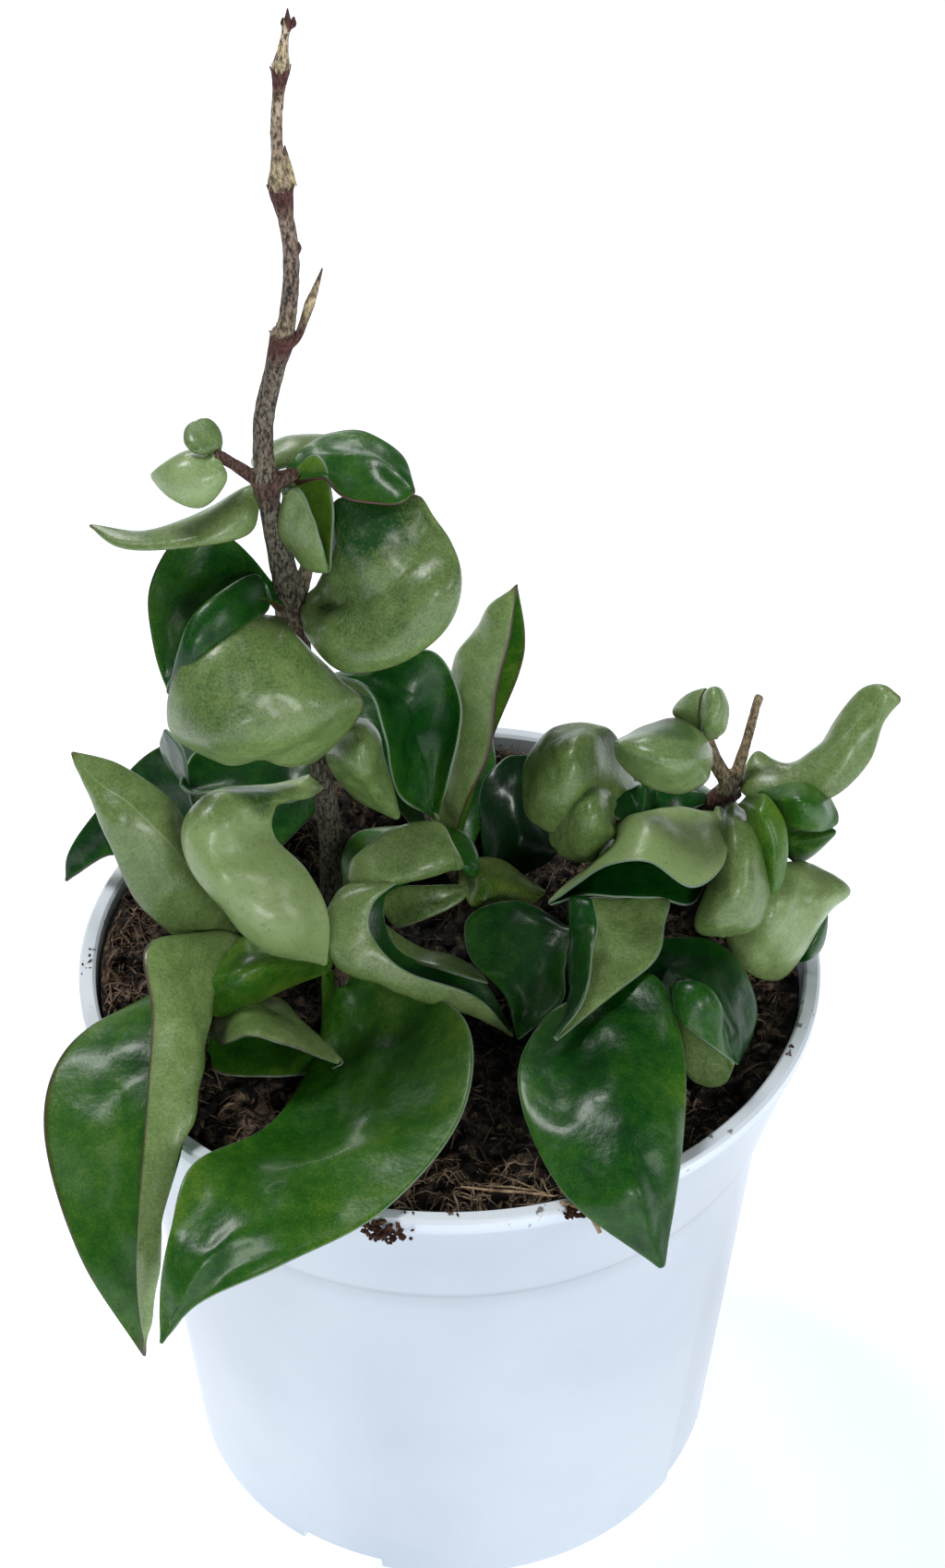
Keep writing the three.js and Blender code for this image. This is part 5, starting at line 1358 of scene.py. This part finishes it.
        root=(37, 13, 119), tip=(44, 37, 104.5), bulge=(0.6, 0.6),
        left=[(28, 20, 114), (28, 30, 113), (36, 36, 108)],
        rib=[(38, 21, 118), (40, 28, 115), (42, 33, 110)],
        right=[(45, 17, 114), (51, 25, 110), (49, 32, 106)]),
    "rear_drape": dict(
        root=(1, 14, 108), tip=(-6, 76, 92), bulge=(0.8, 0.8),
        left=[(-9, 26, 112), (-19, 42, 112), (-18, 60, 107)],
        rib=[(0, 28, 113), (-2, 46, 114), (-4, 64, 107)],
        right=[(6.5, 27, 110.5), (8, 42, 110.5), (5, 60, 106.5)]),
}


def rail(leaf, side, start, last):
    """The points of a margin or of the midrib, from the stalk to the tip, in mm."""
    middle = [Vector(p) for p in leaf[side]]
    return [Vector(leaf["root"]) + start, *middle, Vector(leaf["tip"]) + last]


def leaf_row(leaf, t):
    """The left margin, the midrib, the right margin and the direction at the share t."""
    ends = [[Vector(p) for p in leaf[side]] for side in ("left", "right")]
    start = (ends[1][0] - ends[0][0]).normalized() * BLADE["root_half"]
    last = (ends[1][-1] - ends[0][-1]).normalized() * BLADE["tip_half"]
    rib = rail(leaf, "rib", 0 * start, 0 * last)
    rows = rail(leaf, "left", -start, -last), rib, rail(leaf, "right", start, last)
    left, middle, right = [along_curve(points, t) for points in rows]
    ahead = along_curve(rib, min(t + 0.002, 1)) - along_curve(rib, max(t - 0.002, 0))
    return left, middle, right, ahead.normalized()


def leaf_point(leaf, row, t, across):
    """A point of the blade: across is -1 on the left margin, 0 on the rib, 1 on the right."""
    left, middle, right, ahead = row
    side = -1 if across < 0 else 1
    x = abs(across)
    edge = left if across < 0 else right
    smooth = middle + (right - left) * (side * x / 2) + ((left + right) / 2 - middle) * x * x
    flat = middle + (edge - middle) * x
    up = ((edge - middle) * side).cross(ahead).normalized()
    bulge = leaf["bulge"][0 if across < 0 else 1]
    lift = bulge * 4 * x * (1 - x) * math.sin(math.pi * t)
    return smooth.lerp(flat, leaf["crease"]) - up * lift


def leaf_grid(name, leaf):
    """A fine grid laid over the blade, its u across the blade and its v from stalk to tip."""
    length = length_of(rail(leaf, "rib", Vector(), Vector()))
    left, middle, right, _ = leaf_row(leaf, 0.5)
    width = (left - middle).length + (right - middle).length
    columns = max(8, min(26, 2 * round(width / LEAF_GRID["across"])))
    rows = max(12, min(48, round(length / LEAF_GRID["along"])))
    bpy.ops.mesh.primitive_grid_add(x_subdivisions=columns, y_subdivisions=rows, size=2)
    piece = bpy.context.object
    piece.name = name + "_leaf"
    edges = [leaf_row(leaf, i / rows) for i in range(rows + 1)]
    places = []
    for vertex in piece.data.vertices:
        u, v = vertex.co.x, (vertex.co.y + 1) / 2
        vertex.co = leaf_point(leaf, edges[round(v * rows)], v, u)
        places.append((u, v))
    return piece, places, width


def wrinkled(mesh, places, width, young, dice):
    """Gives the blade its blisters, its swellings, its groove and its wavy margin."""
    seed = Vector((dice.uniform(0, 99), dice.uniform(0, 99), dice.uniform(0, 99)))
    small = min(1.0, width / CALM["full_width"])
    small *= CALM["young"] if young or width < CALM["small_width"] else 1
    broad = max(0.0, min(1.0, (width - CALM["swells_from"]) / CALM["swells_over"]))
    normals = [vertex.normal.copy() for vertex in mesh.vertices]
    for vertex, out, (u, v) in zip(mesh.vertices, normals, places):
        x = abs(u)
        blister, pucker, swell = [
            noise.noise(vertex.co / wide + seed) * rise for wide, rise in LEAF_FORMS]
        groove = GROOVE["depth"] * math.exp(-(x * width / 2 / GROOVE["width"]) ** 2)
        groove *= min(1, 4 * (1 - v))
        spot = Vector((u * EDGE_WAVE["across"], v * EDGE_WAVE["along"], 0)) + seed
        wave = noise.noise(spot) * EDGE_WAVE["rise"] * x ** 3
        calm = min(1.0, v / CALM["stalk"])
        lift = ((blister + pucker + swell * broad) * (1 - x ** 4) + wave - groove) * small * calm
        vertex.co = (vertex.co + out * lift) * MM


def thicknesses(piece, places):
    """The blade is thickest at the stalk, and thins towards its margins and its tip."""
    group = piece.vertex_groups.new(name="thickness")
    for i, (u, v) in enumerate(places):
        root = math.exp(-(v / BLADE["root_share"]) ** 2)
        edge = (1 - (1 - BLADE["margin"]) * abs(u) ** 6) * (1 - BLADE["tip"] * v ** 14)
        full = BLADE["thickness"] * edge * (1 - root) + BLADE["root_thickness"] * root
        group.add([i], full / BLADE["root_thickness"], "REPLACE")


def leaf_tone(mesh, leaf, places):
    """Writes how pale each side is, how clear the midrib and how brown the margin."""
    tone = mesh.attributes.new("leaf_tone", "FLOAT_COLOR", "POINT")
    for vertex, spot, (u, _) in zip(mesh.vertices, tone.data, places):
        # Stains, and patches of painted shade where another leaf shades this one, change how pale
        # both sides are.
        change = 0.0
        for place, reach, amount in leaf["stains_and_painted_shade"]:
            away = (vertex.co / MM - Vector(place)).length / reach
            change += amount * max(0.0, 1 - away * away)
        upper = leaf["upper"] + change + EDGE_PALER * abs(u) ** 4
        spot.color = (max(0, upper), max(0, leaf["under"] + change), leaf["vein"], leaf["brown"])


def grow_leaf(name, leaf, materials, dice):
    piece, places, width = leaf_grid(name, leaf)
    wrinkled(piece.data, places, width, leaf["young"], dice)
    thicknesses(piece, places)
    leaf_tone(piece.data, leaf, places)
    for material in materials:
        piece.data.materials.append(material)
    modify(
        piece, "SOLIDIFY", thickness=BLADE["root_thickness"] * MM, offset=0,
        vertex_group="thickness", material_offset=1, material_offset_rim=2)
    modify(piece, "SUBSURF", levels=1)
    bpy.ops.object.shade_smooth()
    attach(piece, "root")
    if name != "upper_left_fold":
        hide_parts("leaf_" + name)


def aged(tree, place, tone):
    """How far the skin of a leaf has browned, which differs from patch to patch."""
    patches = clouds(tree, place, Scale=150, Detail=5, Roughness=0.65)
    return math_of(tree, "MULTIPLY_ADD", patches, 0.8, tone.node.outputs["Alpha"])


def browned_edge(tree, place, across, along, tone, reach):
    """How far the skin has gone brown: only along the margins and at the tip of some leaves."""
    margin = ramp(tree, across, (0.0, 1), (reach, 0), (1 - reach, 0), (1.0, 1))
    tip = ramp(tree, along, (0.955, 0), (1.0, 1))
    old = ramp(tree, aged(tree, place, tone), (0.85, 0), (1.2, 0.9))
    return math_of(tree, "MULTIPLY", math_of(tree, "MAXIMUM", margin, tip), old)


def leaf_skin(name, side, finish, grain, specks, tones, vein, browned, relief, pores):
    """The skin of one side of a leaf: a tone that drifts, specks, a midrib and fine pores."""
    material, tree, shader = new_material(name, **finish)
    place = add_node(tree, "TexCoord", "Object")
    tone = add_node(tree, "Attribute", "Color", attribute_name="leaf_tone")
    vein_share = add_node(tree, "SeparateColor", "Blue", {"Color": tone})
    cloud = {kind: clouds(tree, place, **look) for kind, look in LEAF_CLOUDS.items()}
    layers = dict(drift=0.75, mottle=0.60, pores=grain)
    level = vein_share.node.outputs[side]
    level = math_of(tree, "SUBTRACT", level, sum(layers.values()) / 2)
    for kind, weight in layers.items():
        level = math_of(tree, "MULTIPLY_ADD", cloud[kind], weight, level)
    skin = ramp(tree, level, *tones)
    faint, full, speck_colour = specks
    skin = blended(tree, ramp(tree, cloud["dots"], (faint, 0), (full, 0.6)), skin, speck_colour)
    across = add_node(tree, "SeparateXYZ", "X", {"Vector": place.node.outputs["UV"]})
    line = ramp(tree, across, (0.0, 0), (0.486, 0), (0.5, 1), (0.514, 0), (1.0, 0))
    skin = blended(tree, math_of(tree, "MULTIPLY", line, vein_share), skin, vein)
    edge = browned_edge(tree, place, across, across.node.outputs["Y"], tone, browned)
    skin = blended(tree, edge, skin, BROWNED)
    height = math_of(tree, "MULTIPLY", cloud["pores"], pores)
    for kind, weight in dict(mottle=0.8, hammered=1.6).items():
        height = math_of(tree, "MULTIPLY_ADD", cloud[kind], weight, height)
    dressed(tree, shader, skin, height, strength=relief, depth=0.0005)
    return material


def leaf_rim(name, pale, brown):
    """The thin rounded margin of a leaf: pale all round as a painted highlight of the light its
    edge catches, or browned.
    """
    material, tree, shader = new_material(name, Roughness=0.45)
    place = add_node(tree, "TexCoord", "Object")
    tone = add_node(tree, "Attribute", "Color", attribute_name="leaf_tone")
    dressed(tree, shader, ramp(tree, aged(tree, place, tone), (0.75, pale), (1.05, brown)))
    return material


grown_skins = [leaf_skin(name, **look) for name, look in GROWN_SKINS.items()]
# The pale rim tones are a painted highlight along the edges; the brown ones are the margins' own
# colour.
grown_skins.append(leaf_rim("leaf_margin", (0.16, 0.24, 0.16), (0.060, 0.028, 0.018)))
young_skins = [leaf_skin(name, **look) for name, look in YOUNG_SKINS.items()]
young_skins.append(leaf_rim("young_margin", (0.22, 0.31, 0.16), (0.14, 0.065, 0.035)))
leaf_dice = random.Random(23)
for leaf_name, leaf_shape in LEAVES.items():
    shape = {**PLAIN_LEAF, **leaf_shape}
    grow_leaf(leaf_name, shape, young_skins if shape["pale"] else grown_skins, leaf_dice)
